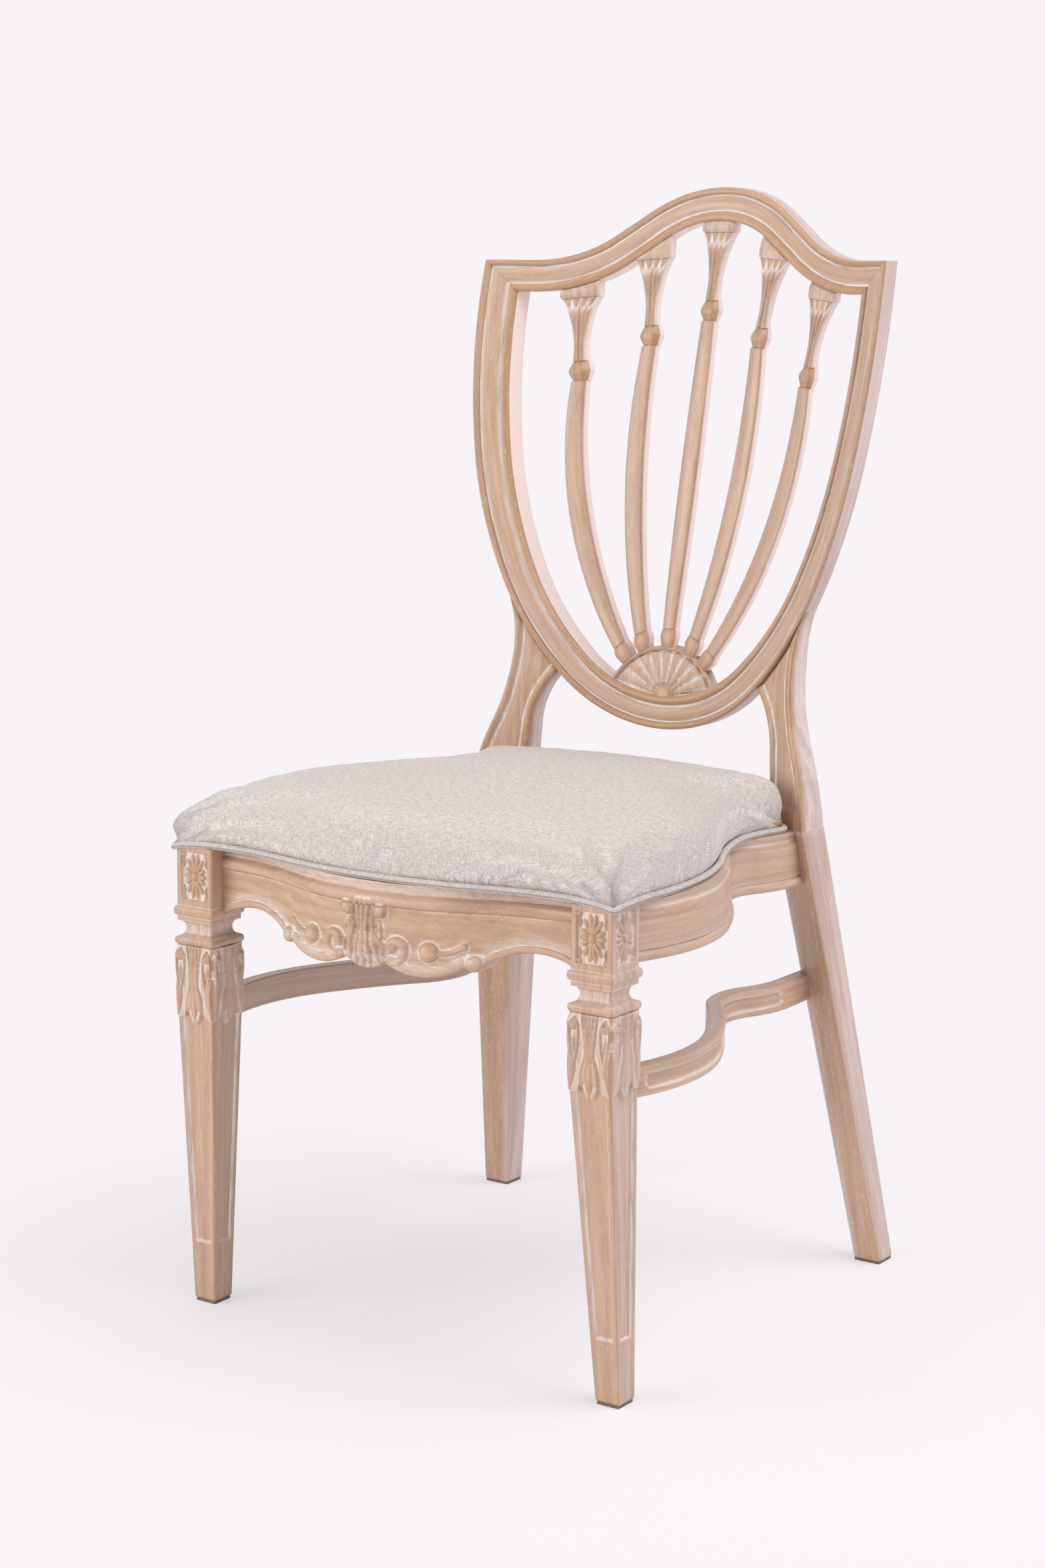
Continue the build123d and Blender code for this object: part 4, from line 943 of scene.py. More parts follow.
def leaf(u, v, start, end, width, height, bow=0.0, groove=0.0):
    """Height of a pointed leaf between two points, bowed sideways, with a groove down its middle."""
    way = np.array(end, float) - np.array(start, float)
    length = np.hypot(*way)
    way = way / length
    along = ((u - start[0]) * way[0] + (v - start[1]) * way[1]) / length
    share = np.clip(along, 0, 1)
    side = (u - start[0]) * -way[1] + (v - start[1]) * way[0] - bow * 4 * share * (1 - share)
    half = width / 2 * np.sin(math.pi * share ** 0.75) + 1e-6
    rise = dome(np.abs(side) / half) * (along > 0) * (along < 1)
    rise = rise * (1 - groove * bell(side, 0.16 * width))
    return height * rise * np.clip(half / (width / 2), 0.35, 1)


def ridge_line(u, v, line, width, height):
    """Height of a half-round bead that follows a line of points."""
    return height * dome(distance_to(np.stack([u, v], -1), np.array(line, float)) / (width / 2))


def flat_band(u, v, line, width, height):
    """Height of a flat band with eased edges that follows a line of points."""
    gap = distance_to(np.stack([u, v], -1), np.array(line, float))
    return height * smooth(width / 2, width / 2 - 1.3, gap)


def spiral(centre, start_radius, end_radius, start_turn, end_turn, count=28):
    """Points of a curl."""
    turns = np.radians(np.linspace(start_turn, end_turn, count))
    radii = np.linspace(start_radius, end_radius, count)
    return np.stack([centre[0] + radii * np.cos(turns), centre[1] + radii * np.sin(turns)], 1)


def wax(heights, cell):
    """Lime in the low places of a carved grid: how far each point lies below its surroundings."""
    blurred = heights
    for axis in (0, 1):
        count = heights.shape[axis]
        total = np.zeros_like(heights)
        for step in range(-cell, cell + 1):
            total += np.take(blurred, np.clip(np.arange(count) + step, 0, count - 1), axis)
        blurred = total / (2 * cell + 1)
    return np.clip((blurred - heights) * 0.9, 0, 1)


# Front apron

def apron_lower_edge(x):
    """Height of the front apron's lower edge."""
    x = np.abs(x)
    ball_x, ball_z, ball_radius = SCROLL_BALL
    arch = arc_through((LEG_INNER, 357.0), (150.0, 368.5), (96.0, 350.0), 300)[::-1]
    lobe = arc_through((97.0, 358.5), (50.0, 342.0), (20.0, 351.5), 300)[::-1]
    low = np.where(x >= ball_x, np.interp(x, arch[:, 0], arch[:, 1]), np.interp(x, lobe[:, 0], lobe[:, 1]))
    ball_edge = ball_z - np.sqrt(np.clip(ball_radius ** 2 - (x - ball_x) ** 2, 0, None))
    low = np.where(np.abs(x - ball_x) < ball_radius, np.minimum(low, ball_edge), low)
    pendant = PENDANT_FOOT + 7.6 * (np.clip(x, 0, PENDANT_HALF) / PENDANT_HALF) ** 2.4
    return np.where(x < PENDANT_HALF, pendant, low)


def apron_relief(x, z, low):
    """Height of the front apron's carving over its field."""
    u = np.abs(x)
    arch_x = np.linspace(97.0, LEG_INNER, 60)
    shapes = [flat_band(u, z, np.stack([arch_x, apron_lower_edge(arch_x) + 2.4], 1), 8.4, 2.6)]
    lobe_x = np.linspace(27.0, 86.0, 40)
    shapes.append(ridge_line(u, z, np.stack([lobe_x, apron_lower_edge(lobe_x) + 4.0], 1), 11.0, 3.4))
    shapes.append(ball(u, z, SCROLL_BALL[:2], SCROLL_BALL[2] + 0.6, 6.6))
    shapes.append(ball(u, z, (60.0, 363.5), 8.8, 7.6))
    shapes.append(ridge_line(u, z, [(66.0, 362.5), (74.0, 363.6), (81.0, 365.8), (87.0, 369.5)], 5.0, 3.0))
    shapes.append(ball(u, z, (88.0, 370.2), 3.4, 4.0))
    shapes.append(ridge_line(u, z, spiral((30.5, 363.6), 11.5, 4.0, -100, 190), 8.0, 5.4))
    shapes.append(ball(u, z, (29.4, 365.0), 3.6, 4.6))
    slope = smooth(0.0, 8.0, 366.0 - 0.10 * (u - 28.0) - z)
    shapes.append(1.8 * smooth(0.0, 3.0, z - low) * slope * smooth(28.0, 36.0, u) * smooth(92.0, 80.0, u))
    shapes.append(ball(u, z, (17.0, 393.6), 6.2, 6.0))
    shapes.append(ridge_line(u, z, spiral((17.0, 393.6), 5.8, 3.0, 230, -60), 3.0, 6.8))
    stem = [(11.0, 396.0), (9.8, 389.0), (10.6, 380.0), (14.6, 371.0), (19.4, 364.0), (19.0, 358.0)]
    shapes.append(ridge_line(u, z, stem, 3.4, 4.8))
    shapes.append(leaf(u, z, (16.8, 368.0), (15.0, 388.5), 6.6, 4.2, 0.0, 0.5))
    for head, foot in ((0.0, 0.0), (5.2, 3.4)):
        shapes.append(ridge_line(u, z, [(head, 401.0), ((head + foot) / 2, 389.0), (foot, 377.0)], 4.4, 4.8))
    for tip, head, width in (((0.0, 343.0), (0.0, 390.0), 8.4), ((7.4, 345.4), (3.0, 388.0), 7.0),
                             ((14.6, 350.4), (7.4, 393.0), 7.6)):
        shapes.append(leaf(u, z, tip, head, width, 6.4))
    return np.max(shapes, axis=0)


def apron_plan():
    """Depth of the front apron's face at each distance from the middle."""
    turning = (LEG_INNER / 2, (APRON_MIDDLE + APRON_END) / 2)
    return chain((0, APRON_MIDDLE), 0, [turning, (LEG_INNER, APRON_END)])[0]


def build_front_apron():
    columns, levels = 561, 116
    x = np.linspace(-LEG_INNER - 1.0, LEG_INNER + 1.0, columns)
    plan = apron_plan()
    face_y = np.interp(np.abs(x), plan[:, 0], plan[:, 1])
    slope = np.gradient(face_y, x)
    way = np.stack([slope, -np.ones_like(slope)], 1) / np.sqrt(1 + slope ** 2)[:, None]
    low = apron_lower_edge(x)
    z = lerp(SEAT_TOP, low[:, None], np.linspace(0, 1, levels)[None])
    above = z - low[:, None]
    xx = np.broadcast_to(x[:, None], z.shape)
    carving = apron_relief(xx, z, np.broadcast_to(low[:, None], z.shape))
    step = smooth(APRON_STEP, APRON_STEP - 1.0, z)
    rise = -3.0 + 2.2 * step + 3.0 * dome((z - APRON_BAND) / 5.0) + carving - 2.0 * smooth(1.2, 0.0, above)
    lip = smooth(APRON_STEP - 0.4, APRON_STEP + 1.0, z)
    lime_and_shade = np.clip(0.08 + 0.30 * lip + 0.30 * bell(z - APRON_LINE, 0.8) + 0.8 * wax(carving, 3), 0, 1)
    lime_and_shade = lime_and_shade + 0.22 * bell(above - 9.0, 5.0) - 0.45 * bell(z - APRON_SHADOW, 0.9) - 0.3 * bell(above, 1.0)
    front = np.stack([xx + way[:, :1] * rise, face_y[:, None] + way[:, 1:] * rise, z], -1)
    back_y = face_y + APRON_THICKNESS
    under = np.stack([x, face_y + 6.0, low], -1)
    back_low = np.stack([x, back_y, low + 1.0], -1)
    back_high = np.stack([x, back_y, np.full_like(low, SEAT_TOP)], -1)
    rings = np.concatenate([front, np.stack([under, back_low, back_high], 1)], 1)
    lime_and_shade = filled_out(lime_and_shade, 0.1, 3)
    oak_piece("front_apron", rings, rings[..., [0, 2, 1]], lime_and_shade, filled_out(0 * z, 0.3, 3), sharp=55.0)


# Legs

def petal(u, v, angle, near, far, width, height):
    """Height of a rounded petal that widens outwards, at an angle from straight up."""
    way = np.array([math.sin(math.radians(angle)), math.cos(math.radians(angle))])
    along = (2 * (u * way[0] + v * way[1]) - near - far) / (far - near)
    side = (u * way[1] - v * way[0]) / (width / 2 * lerp(0.5, 1.0, np.clip((along + 1) / 2, 0, 1)))
    return height * dome(np.hypot(along, side))


def rosette(u, v):
    """Sunk panel with an upright flower, for the block of a front leg."""
    inside = smooth(14.8, 13.8, np.abs(u)) * smooth(21.6, 20.6, np.abs(v))
    side = np.abs(u)
    up = np.abs(v)
    shapes = [ball(side, up, (0, 0), 3.8, 3.4)]
    for angle, far, width in ((9, 20.0, 5.8), (30, 17.4, 5.6), (60, 12.8, 5.6), (90, 12.2, 5.8)):
        shapes.append(petal(side, up, angle, 2.6, far, width, 2.4))
    shapes.append(ball(side, up, (12.2, 18.8), 2.4, 2.0))
    shapes.append(ridge_line(side, up, [(12.6, 15.4), (11.4, 12.0), (12.8, 9.0)], 2.4, 1.8))
    height = np.max(shapes, axis=0)
    return inside * (1.1 * height - 2.6), inside * np.clip(0.6 - height * 0.55, 0, 1)


def acanthus(u, v):
    """Carved capital of a front leg, and where it lies: v runs down from its top, u across the face."""
    side = np.abs(u)
    up = -v
    foot = 64.0 + 5.0 * bell(side, 4.5) - 6.0 * bell(side - 8.0, 2.4)
    inside = smooth(0.8, -0.8, v - foot)
    loop = [(14.6, -3.0), (18.6, -7.0), (19.4, -14.0), (18.0, -26.0), (15.4, -43.0), (11.6, -30.0),
            (10.2, -17.0), (11.0, -7.5), (14.6, -3.0)]
    shapes = [ridge_line(side, up, soften(resample(np.array(loop), 36), 2), 2.6, 2.6)]
    shapes.append(ball(side, up, (14.8, -10.0), 3.6, 3.6))
    shapes.append(leaf(side, up, (15.0, -17.0), (15.2, -38.0), 4.2, 1.8))
    for top, waist, flare in ((0.0, 0.0, 0.0), (3.6, 1.7, 3.0), (7.4, 3.6, 8.0)):
        stalk = [(top, 0.5), (lerp(top, waist, 0.6), -15.0), (waist, -31.0),
                 (lerp(waist, flare, 0.35), -42.0), (flare, -56.0)]
        shapes.append(ridge_line(side, up, stalk, 2.8, 2.4))
    shapes.append(leaf(side, up, (0.0, -34.0), (0.0, -69.5), 10.5, 3.6, 0.0, 0.3))
    shapes.append(leaf(side, up, (3.4, -33.0), (11.5, -64.5), 8.5, 3.0, -2.0, 0.3))
    shapes.append(leaf(side, up, (19.5, -27.0), (19.5, -66.0), 14.0, 3.2, 0.0, 0.35))
    return inside, np.max(shapes, axis=0) * inside


def shaft_panel(u, v, half):
    """Sunk panel down the shaft of a front leg, with a slim bead round it."""
    edge = np.minimum(half - np.abs(u), v - SHAFT_PANEL_FOOT)
    sunk = smooth(4.2, 5.4, edge)
    return -2.4 * sunk, 0.85 * bell(edge - 5.1, 0.8) + 0.05 * sunk


# Name of each face of a front leg, its way round, its way out and its blush
LEG_FACES = [
    ("front", (1, 0), (0, -1), 0.0),
    ("outer", (0, 1), (1, 0), 0.4),
    ("rear", (-1, 0), (0, 1), 0.35),
    ("inner", (0, -1), (-1, 0), 0.1),
]


def column(z, centre_x, centre_y, half, relief, per_face):
    """Rings round a square column. Relief maps (face, u, z, half) to height and lime."""
    share = np.linspace(-1, 1, per_face)
    ease = np.clip((np.abs(share) - 0.93) / 0.07, 0, 1)[None] ** 2
    u = share[None] * half[:, None]
    zz = np.broadcast_to(z[:, None], u.shape)
    squeeze = u - np.sign(u) * ease * 0.6
    parts, grains, limes, blushes = [], [], [], []
    for number, (face, along, out, blush_and_highlight) in enumerate(LEG_FACES, 1):
        height, lime_and_shade = relief(face, u, zz, half[:, None])
        reach = half[:, None] + height - ease
        x = centre_x[:, None] + along[0] * squeeze + out[0] * reach
        y = centre_y[:, None] + along[1] * squeeze + out[1] * reach
        parts.append(np.stack([x, y, zz], -1))
        grains.append(np.stack([zz, u + 70 * number, reach], -1))
        limes.append(lime_and_shade - 0.3 * ease)
        blushes.append(np.full(u.shape, blush_and_highlight))
    return [np.concatenate(values, 1) for values in (parts, grains, limes, blushes)]


def leg_outline(z):
    """Half width and centre of a front leg's section at each height, with its mouldings."""
    share = np.clip((z - GLIDE) / (CAPITAL_FOOT - GLIDE), 0, 1)
    width = lerp(FRONT_FOOT / 2, LEG_BLOCK / 2, share)
    middle_x = LEG_OUTER - width
    middle_y = lerp(0.0, LEG_FRONT, share) + width
    grow = np.zeros_like(z)
    mouldings = [(UPPER_TORUS_FOOT, BLOCK_BOTTOM, 2.4), (HOLLOW_FOOT, HOLLOW_TOP, -4.5),
                 (CAPITAL_TOP, HOLLOW_FOOT, 2.9)]
    for low, high, bulge in mouldings:
        inside = (z >= low) & (z <= high)
        grow = np.where(inside, bulge * dome((2 * z - low - high) / (high - low)), grow)
    grow = grow - 1.0 * ((z > CAPITAL_TOP) & (z < HOLLOW_TOP))
    return width + grow, middle_x, middle_y


def leg_relief(face, u, z, half):
    """Carving on a front leg: rosette on its block, leaves on its capital, panels on its shaft."""
    height = np.zeros_like(u)
    # Painted shade: the outer face is darker all over than the other faces.
    lime_and_shade = np.full_like(u, -0.2 if face == "outer" else 0.06)
    if face in ("front", "outer"):
        rose, rose_lime = rosette(u, z - ROSETTE_HEIGHT)
        on_block = z > BLOCK_BOTTOM + 2.5
        height = np.where(on_block, rose, height)
        lime_and_shade = np.where(on_block, np.maximum(lime_and_shade, rose_lime), lime_and_shade)
    inside, carved = acanthus(u, CAPITAL_TOP - z)
    inside = np.where((z < CAPITAL_TOP) & (z > CAPITAL_FOOT - 9), inside, 0.0)
    if face == "rear":
        height = height + CAPITAL_GROUND * inside
    else:
        sunk, sunk_lime = shaft_panel(u, z, half)
        free = (1 - inside) * (z < CAPITAL_TOP - 20)
        height = height + inside * (CAPITAL_GROUND + carved) + sunk * free
        lime_and_shade = lerp(lime_and_shade, 1.0, sunk_lime * free)
        hollows = 0.9 * wax(carved, 3) + 0.25 * (carved < 0.3) + 2.0 * (1 - inside)
        lime_and_shade = np.where(inside > 0.02, np.clip(lime_and_shade + hollows * inside, 0, 1), lime_and_shade)
    waxed = 0.35 * smooth(HOLLOW_FOOT, HOLLOW_FOOT + 3.8, z) * smooth(HOLLOW_TOP, HOLLOW_TOP - 3.6, z)
    for line in (BLOCK_BOTTOM + 0.3, UPPER_TORUS_FOOT - 0.2, HOLLOW_TOP, HOLLOW_FOOT, CAPITAL_TOP - 0.2):
        waxed = np.maximum(waxed, 0.4 * bell(z - line, 0.8))
    return height, np.clip(lerp(lime_and_shade, 1.0, waxed), -1, 1)


def build_front_legs():
    z = np.concatenate([
        np.linspace(GLIDE, GLIDE + 1.2, 3),
        np.linspace(6, 50, 9),
        np.linspace(52, 64, 14),
        np.linspace(68, 254, 48),
        np.linspace(256, CAPITAL_TOP - 0.05, 126),
        np.linspace(CAPITAL_TOP + 0.05, HOLLOW_FOOT, 11),
        np.linspace(HOLLOW_FOOT + 0.4, HOLLOW_TOP - 0.1, 14),
        np.linspace(HOLLOW_TOP + 0.1, UPPER_TORUS_FOOT - 0.1, 4),
        np.linspace(UPPER_TORUS_FOOT + 0.1, BLOCK_BOTTOM, 12),
        np.linspace(BLOCK_BOTTOM + 0.4, SEAT_TOP, 88),
    ])
    half, middle_x, middle_y = leg_outline(z)
    half = half - 0.8 * np.clip(1 - (z - GLIDE) / 1.2, 0, 1)
    oak_pair("front_leg", *column(z, middle_x, middle_y, half, leg_relief, per_face=65), sharp=55.0)


def seam_corners():
    """Corners of the right rear leg at the seam: outer front, inner front, inner rear, outer rear."""
    height = np.array(SEAM_HEIGHT)
    front = (float(surface_depth(height)) + POST_SET_BACK, BACK_RADIUS + POST_SET_BACK)
    rear = (float(surface_depth(height, POST_DEPTH, POST_REAR_BEND_RADIUS)), BACK_RADIUS + POST_DEPTH)
    outer = POST_OUTER[0][0]
    inner = POST_INNER[0][0]
    corners = []
    for (middle, radius), x in ((front, outer), (front, inner), (rear, inner), (rear, outer)):
        corners.append((x, middle + math.sqrt(radius ** 2 - x ** 2) - radius))
    return np.array(corners)


def foot_corners():
    x, y, wide, deep = REAR_FOOT
    return np.array([(x, y), (x - wide, y), (x - wide, y + deep), (x, y + deep)])


def rear_leg_ring(share):
    """Section of the rear leg with eased corners and a chamfer on the inner front one."""
    corners = lerp(foot_corners(), seam_corners(), share)
    eases = [1.6, lerp(3.0, 7.0, share), 1.6, 1.6]
    points = []
    for number, corner in enumerate(corners):
        onward = corners[(number + 1) % 4]
        before = corners[number - 1] - corner
        after = onward - corner
        first = corner + before / np.linalg.norm(before) * eases[number]
        last = corner + after / np.linalg.norm(after) * eases[number]
        rounding = [lerp(lerp(first, last, part), corner, 0.18) for part in (0.3, 0.7)]
        points += [first, *rounding, last]
        points += [lerp(corner, onward, part) for part in (0.3, 0.5, 0.7)]
    return np.array(points)


def build_rear_legs():
    z = np.concatenate([[GLIDE, GLIDE + 1.0], np.linspace(8, SEAM_HEIGHT, 70)])
    rings = []
    for height in z:
        share = (height - GLIDE) / (SEAM_HEIGHT - GLIDE)
        ring = rear_leg_ring(share)
        if height == GLIDE:
            ring = lerp(ring, ring.mean(0), 0.04)
        rings.append(np.column_stack([ring, np.full(len(ring), height)]))
    rings = np.array(rings)
    height = rings[..., 2]
    spot = np.arange(rings.shape[1])
    around = np.broadcast_to(np.linspace(0, 110, len(spot)), height.shape)
    grain = np.stack([height, around, rings[..., 0] * 0.3], -1)
    outside = (spot > 21) | (spot < 2)
    # Painted shade: the outer faces grow darker up towards the seat.
    lime_and_shade = 0.08 + 0.4 * bell(height - SEAM_HEIGHT, 1.6) - 0.4 * outside * smooth(180, 400, height)
    blush_and_highlight = np.where(spot < 2, 0.4, np.where(spot < 7, 0.0, 0.6))
    oak_pair("rear_leg", rings, grain, lime_and_shade, blush_and_highlight)


# Rails along the sides

def side_line():
    """Outer face line of the right-hand side apron, in plan, and its heading."""
    start = np.array([LEG_OUTER - 3.5, LEG_REAR])
    share = (SEAT_TOP - 25.0 - GLIDE) / (SEAM_HEIGHT - GLIDE)
    corner = lerp(foot_corners()[0], seam_corners()[0], share)
    end = corner - np.array(SIDE_END)
    nodes = [start + (end - start) * part + np.array([bulge, 0.0]) for part, bulge in SIDE_WAVES]
    heading = math.degrees(math.atan2(end[1] - start[1], end[0] - start[0])) - SIDE_TOE_OUT
    return chain(start, heading, nodes + [end], step=3.0)


def rail(node, profile, inset, tail, groove=None):
    """A profile of (outwards, height, lime, blush) carried along the side line."""
    points, angles = side_line()
    points = points + normals(angles) * inset
    run = lengths(points)
    start = points[0] - np.array([math.cos(angles[0]), math.sin(angles[0])]) * RAIL_LEAD
    end = points[-1] + np.array([math.cos(angles[-1]), math.sin(angles[-1])]) * tail
    points = np.concatenate([[start], points, [end]])
    angles = np.concatenate([angles[:1], angles, angles[-1:]])
    run = np.concatenate([[-RAIL_LEAD], run, [run[-1] + tail]])
    out = -normals(angles)
    reach, heights, lime_and_shade, blush_and_highlight = (np.tile(values, (len(points), 1)) for values in profile.T)
    reach[-1] = np.maximum(reach[-1], -RAIL_END_DEPTH)
    if groove is not None:
        reach, lime_and_shade = groove(run, profile, reach, lime_and_shade)
    rings = np.empty((*reach.shape, 3))
    rings[..., :2] = points[:, None] + out[:, None] * reach[..., None]
    rings[..., 2] = heights
    grain = np.stack([np.broadcast_to(run[:, None], reach.shape), heights, reach], -1)
    oak_pair(node, rings, grain, lime_and_shade, blush_and_highlight)


def side_apron_profile():
    back = -APRON_THICKNESS
    points = [(back, SEAT_TOP, 0.05, 0.3), (-3.0, SEAT_TOP, 0.1, 0.2), (-1.2, SEAT_TOP - 0.6, 0.1, 0.1)]
    for share in np.linspace(0, 1, 8):
        hollow = -1.0 - 0.8 * math.sin(math.pi * share) - 0.6 * share
        height = lerp(SEAT_TOP - 2.0, SIDE_FACE_TOP + 2.0, share)
        points.append((hollow, height, 0.10 + 0.45 * share ** 4, 0.2))
    for turn in np.linspace(0, math.pi / 2, 5):
        out = 1.6 * math.sin(turn) - 1.4
        points.append((out, SIDE_FACE_TOP + 1.6 * math.cos(turn), 0.3 * math.cos(turn), 0.0))
    for share in np.linspace(0.08, 1, 11):
        swell = 0.2 + 0.5 * math.sin(math.pi * share)
        points.append((swell, lerp(SIDE_FACE_TOP, SIDE_FACE_FOOT, share), 0.06 + 0.2 * share ** 10, 0.15))
    points.append((-0.9, SIDE_FACE_FOOT - 0.8, 0.7, 0.0))
    for turn in np.linspace(math.radians(60), math.radians(-80), 11):
        points.append((-0.6 + 4.0 * math.cos(turn), SIDE_BEAD + 4.2 * math.sin(turn), 0.15, 0.1))
    low = SIDE_APRON_BOTTOM
    points += [(-3.0, low, 0.1, 0.2), (back + 1, low, 0.05, 0.3), (back, low + 1, 0.05, 0.3)]
    return np.array(points)


def stretcher_profile():
    low, high = STRETCHER
    back = -STRETCHER_THICKNESS
    size = STRETCHER_ROUND
    points = [(back + 1.2, high, 0.06, 0.3), (-3.4, high, 0.06, 0.3)]
    for turn in np.linspace(math.radians(80), 0, 7):
        points.append((-size + size * math.cos(turn), high - size + size * math.sin(turn), 0.08, 0.15))
    for share in np.linspace(0.04, 0.96, 19):
        points.append((0.0, lerp(high - size, low + size, share), 0.1, 0.05))
    for turn in np.linspace(0, math.radians(-80), 7):
        points.append((-size + size * math.cos(turn), low + size + size * math.sin(turn), 0.08, 0.2))
    rear = [(-3.4, low), (back + 1.2, low), (back, low + 1.2), (back, high - 1.2)]
    points += [(across, height, 0.06, 0.3) for across, height in rear]
    return np.array(points)


def stretcher_groove(run, profile, reach, lime_and_shade):
    """Sinks the long rounded groove into the stretcher's outer face."""
    end_gap = np.minimum(run - GROOVE_ENDS[0], run[-2] - GROOVE_ENDS[1] - run)
    up = profile[:, 1] - sum(STRETCHER) / 2
    along = np.clip(GROOVE_HALF - end_gap, 0, None)
    inside = GROOVE_HALF - np.sqrt(along[:, None] ** 2 + up[None, :] ** 2)
    outer = profile[:, 0] > -0.5
    sunk = smooth(-0.4, 2.4, inside) * outer
    return reach - GROOVE_DEPTH * sunk, np.clip(lime_and_shade + 0.6 * bell(inside - 0.4, 0.9) * outer, 0, 1)


def build_rails():
    rail("side_apron", side_apron_profile(), 0.0, APRON_TAIL)
    rail("side_stretcher", stretcher_profile(), STRETCHER_INSET, STRETCHER_TAIL, stretcher_groove)


# Seat

def pad_line():
    """Right half of the pad's widest line, from the front middle to the back middle, and its heading."""
    front, _ = chain((0, PAD_FRONT), 0, PAD_FRONT_NODES)
    side, angles = chain(PAD_SIDE_START, PAD_SIDE_HEADING, PAD_SIDE_NODES)
    corner = side[-1] + normals(angles[-1:])[0] * PAD_REAR_CORNER
    drop = PAD_BACK - corner[1]
    radius = (corner[0] ** 2 + drop ** 2 - PAD_REAR_CORNER ** 2) / (2 * (drop - PAD_REAR_CORNER))
    centre = np.array([0.0, PAD_BACK - radius])
    corner_end = centre + (corner - centre) / np.linalg.norm(corner - centre) * radius
    tail, _ = chain(side[-1], math.degrees(angles[-1]), [corner_end, (0.0, PAD_BACK)])
    line = resample(np.concatenate([front, [PAD_CORNER], side, tail[1:]]), 340)
    line = soften(line, 14)
    line[0, 0] = 0.0
    line[-1, 0] = 0.0
    way = np.gradient(line, axis=0)
    return line, np.arctan2(way[:, 1], way[:, 0])


def corner_closeness(spots, reach):
    """How near each plan point is to a front corner of the pad, from 0 to 1."""
    gaps = np.hypot(np.abs(spots[..., 0]) - PAD_CORNER_SPOT[0], spots[..., 1] - PAD_CORNER_SPOT[1])
    return np.exp(-gaps / reach)


def closed_ring(half, count):
    """A right-hand half line and its mirror image, as evenly spaced points of a closed line."""
    line = np.concatenate([half, half[-2:0:-1] * np.array([-1.0, 1.0])])
    return resample(np.concatenate([line, line[:1]]), count + 1)[:-1]


def pad_ring(inset):
    """The pad's whole line drawn in by an inset."""
    points, angles = pad_line()
    half = points + normals(angles) * inset
    half[0, 0] = 0.0
    half[-1, 0] = 0.0
    return closed_ring(half, PAD_POINTS)


def build_seat():
    rings = []
    for height, inset in PAD_SECTION:
        rings.append(np.column_stack([pad_ring(inset), np.full(PAD_POINTS, SEAT_TOP + height)]))
    edge = rings[-1]
    for share in PAD_TOP_SHARES:
        spot = PAD_MIDDLE + (edge[:, :2] - PAD_MIDDLE) * share
        crown = SEAT_TOP + PAD_CROWN - ((spot - PAD_MIDDLE) ** 2).sum(1) / PAD_CROWN_SPREAD
        z = np.minimum(crown, edge[:, 2] + 9.5 * (1 - share ** 6) ** 0.8)
        rings.append(np.column_stack([spot, z]))
    rings = np.array(rings)
    base = SEAT_TOP + PAD_FALL_BASE
    fall = 1 - PAD_CORNER_FALL * corner_closeness(rings, PAD_CORNER_REACH)
    rings[..., 2] = np.where(rings[..., 2] > base, base + (rings[..., 2] - base) * fall, rings[..., 2])
    pad = plain_skin("linen_seat", rings, 80.0)
    remesh(pad, PAD_VOXEL)
    inflate(pad)
    tuck(pad)
    weave(pad)
    place(pad, LINEN, "linen", "seat_cover", "seat_foam")
    build_piping()
    build_lining()


def remesh(piece, voxel):
    """Even mesh of the piece."""
    modifier = piece.modifiers.new("even", "REMESH")
    modifier.mode = "VOXEL"
    modifier.voxel_size = voxel
    apply_modifiers(piece)


def apply_modifiers(piece):
    graph = bpy.context.evaluated_depsgraph_get()
    made = bpy.data.meshes.new_from_object(piece.evaluated_get(graph))
    piece.modifiers.clear()
    piece.data = made
    for polygon in made.polygons:
        polygon.use_smooth = True


def points_of(piece):
    spots = np.empty(len(piece.data.vertices) * 3)
    piece.data.vertices.foreach_get("co", spots)
    return spots.reshape(-1, 3)


def set_points(piece, spots):
    piece.data.vertices.foreach_set("co", np.ascontiguousarray(spots).ravel())
    piece.data.update()


def inflate(piece):
    """Puffs the pad with cloth under pressure, held along its bottom edge."""
    start = points_of(piece)
    held = piece.vertex_groups.new(name="held")
    low = np.nonzero(start[:, 2] < (SEAT_TOP + PAD_HELD) * METRES)[0]
    held.add(low.tolist(), 1.0, "REPLACE")
    cloth = piece.modifiers.new("cloth", "CLOTH")
    cloth.settings.vertex_group_mass = "held"
    cloth.settings.use_pressure = True
    cloth.settings.uniform_pressure_force = PAD_PRESSURE
    cloth.settings.effector_weights.gravity = 0.0
    cloth.settings.tension_stiffness = 20.0
    cloth.settings.compression_stiffness = 20.0
    cloth.settings.bending_stiffness = 2.0
    cloth.point_cache.frame_start = 1
    cloth.point_cache.frame_end = PAD_FRAMES
    scene = bpy.context.scene
    for number in range(1, PAD_FRAMES + 1):
        scene.frame_set(number)
    apply_modifiers(piece)
    scene.frame_set(1)
    moved = points_of(piece) - start
    far = np.linalg.norm(moved, axis=1, keepdims=True)
    set_points(piece, start + moved * np.minimum(1.0, PAD_PUFF / np.maximum(far, 1e-9)))
    piece.vertex_groups.clear()


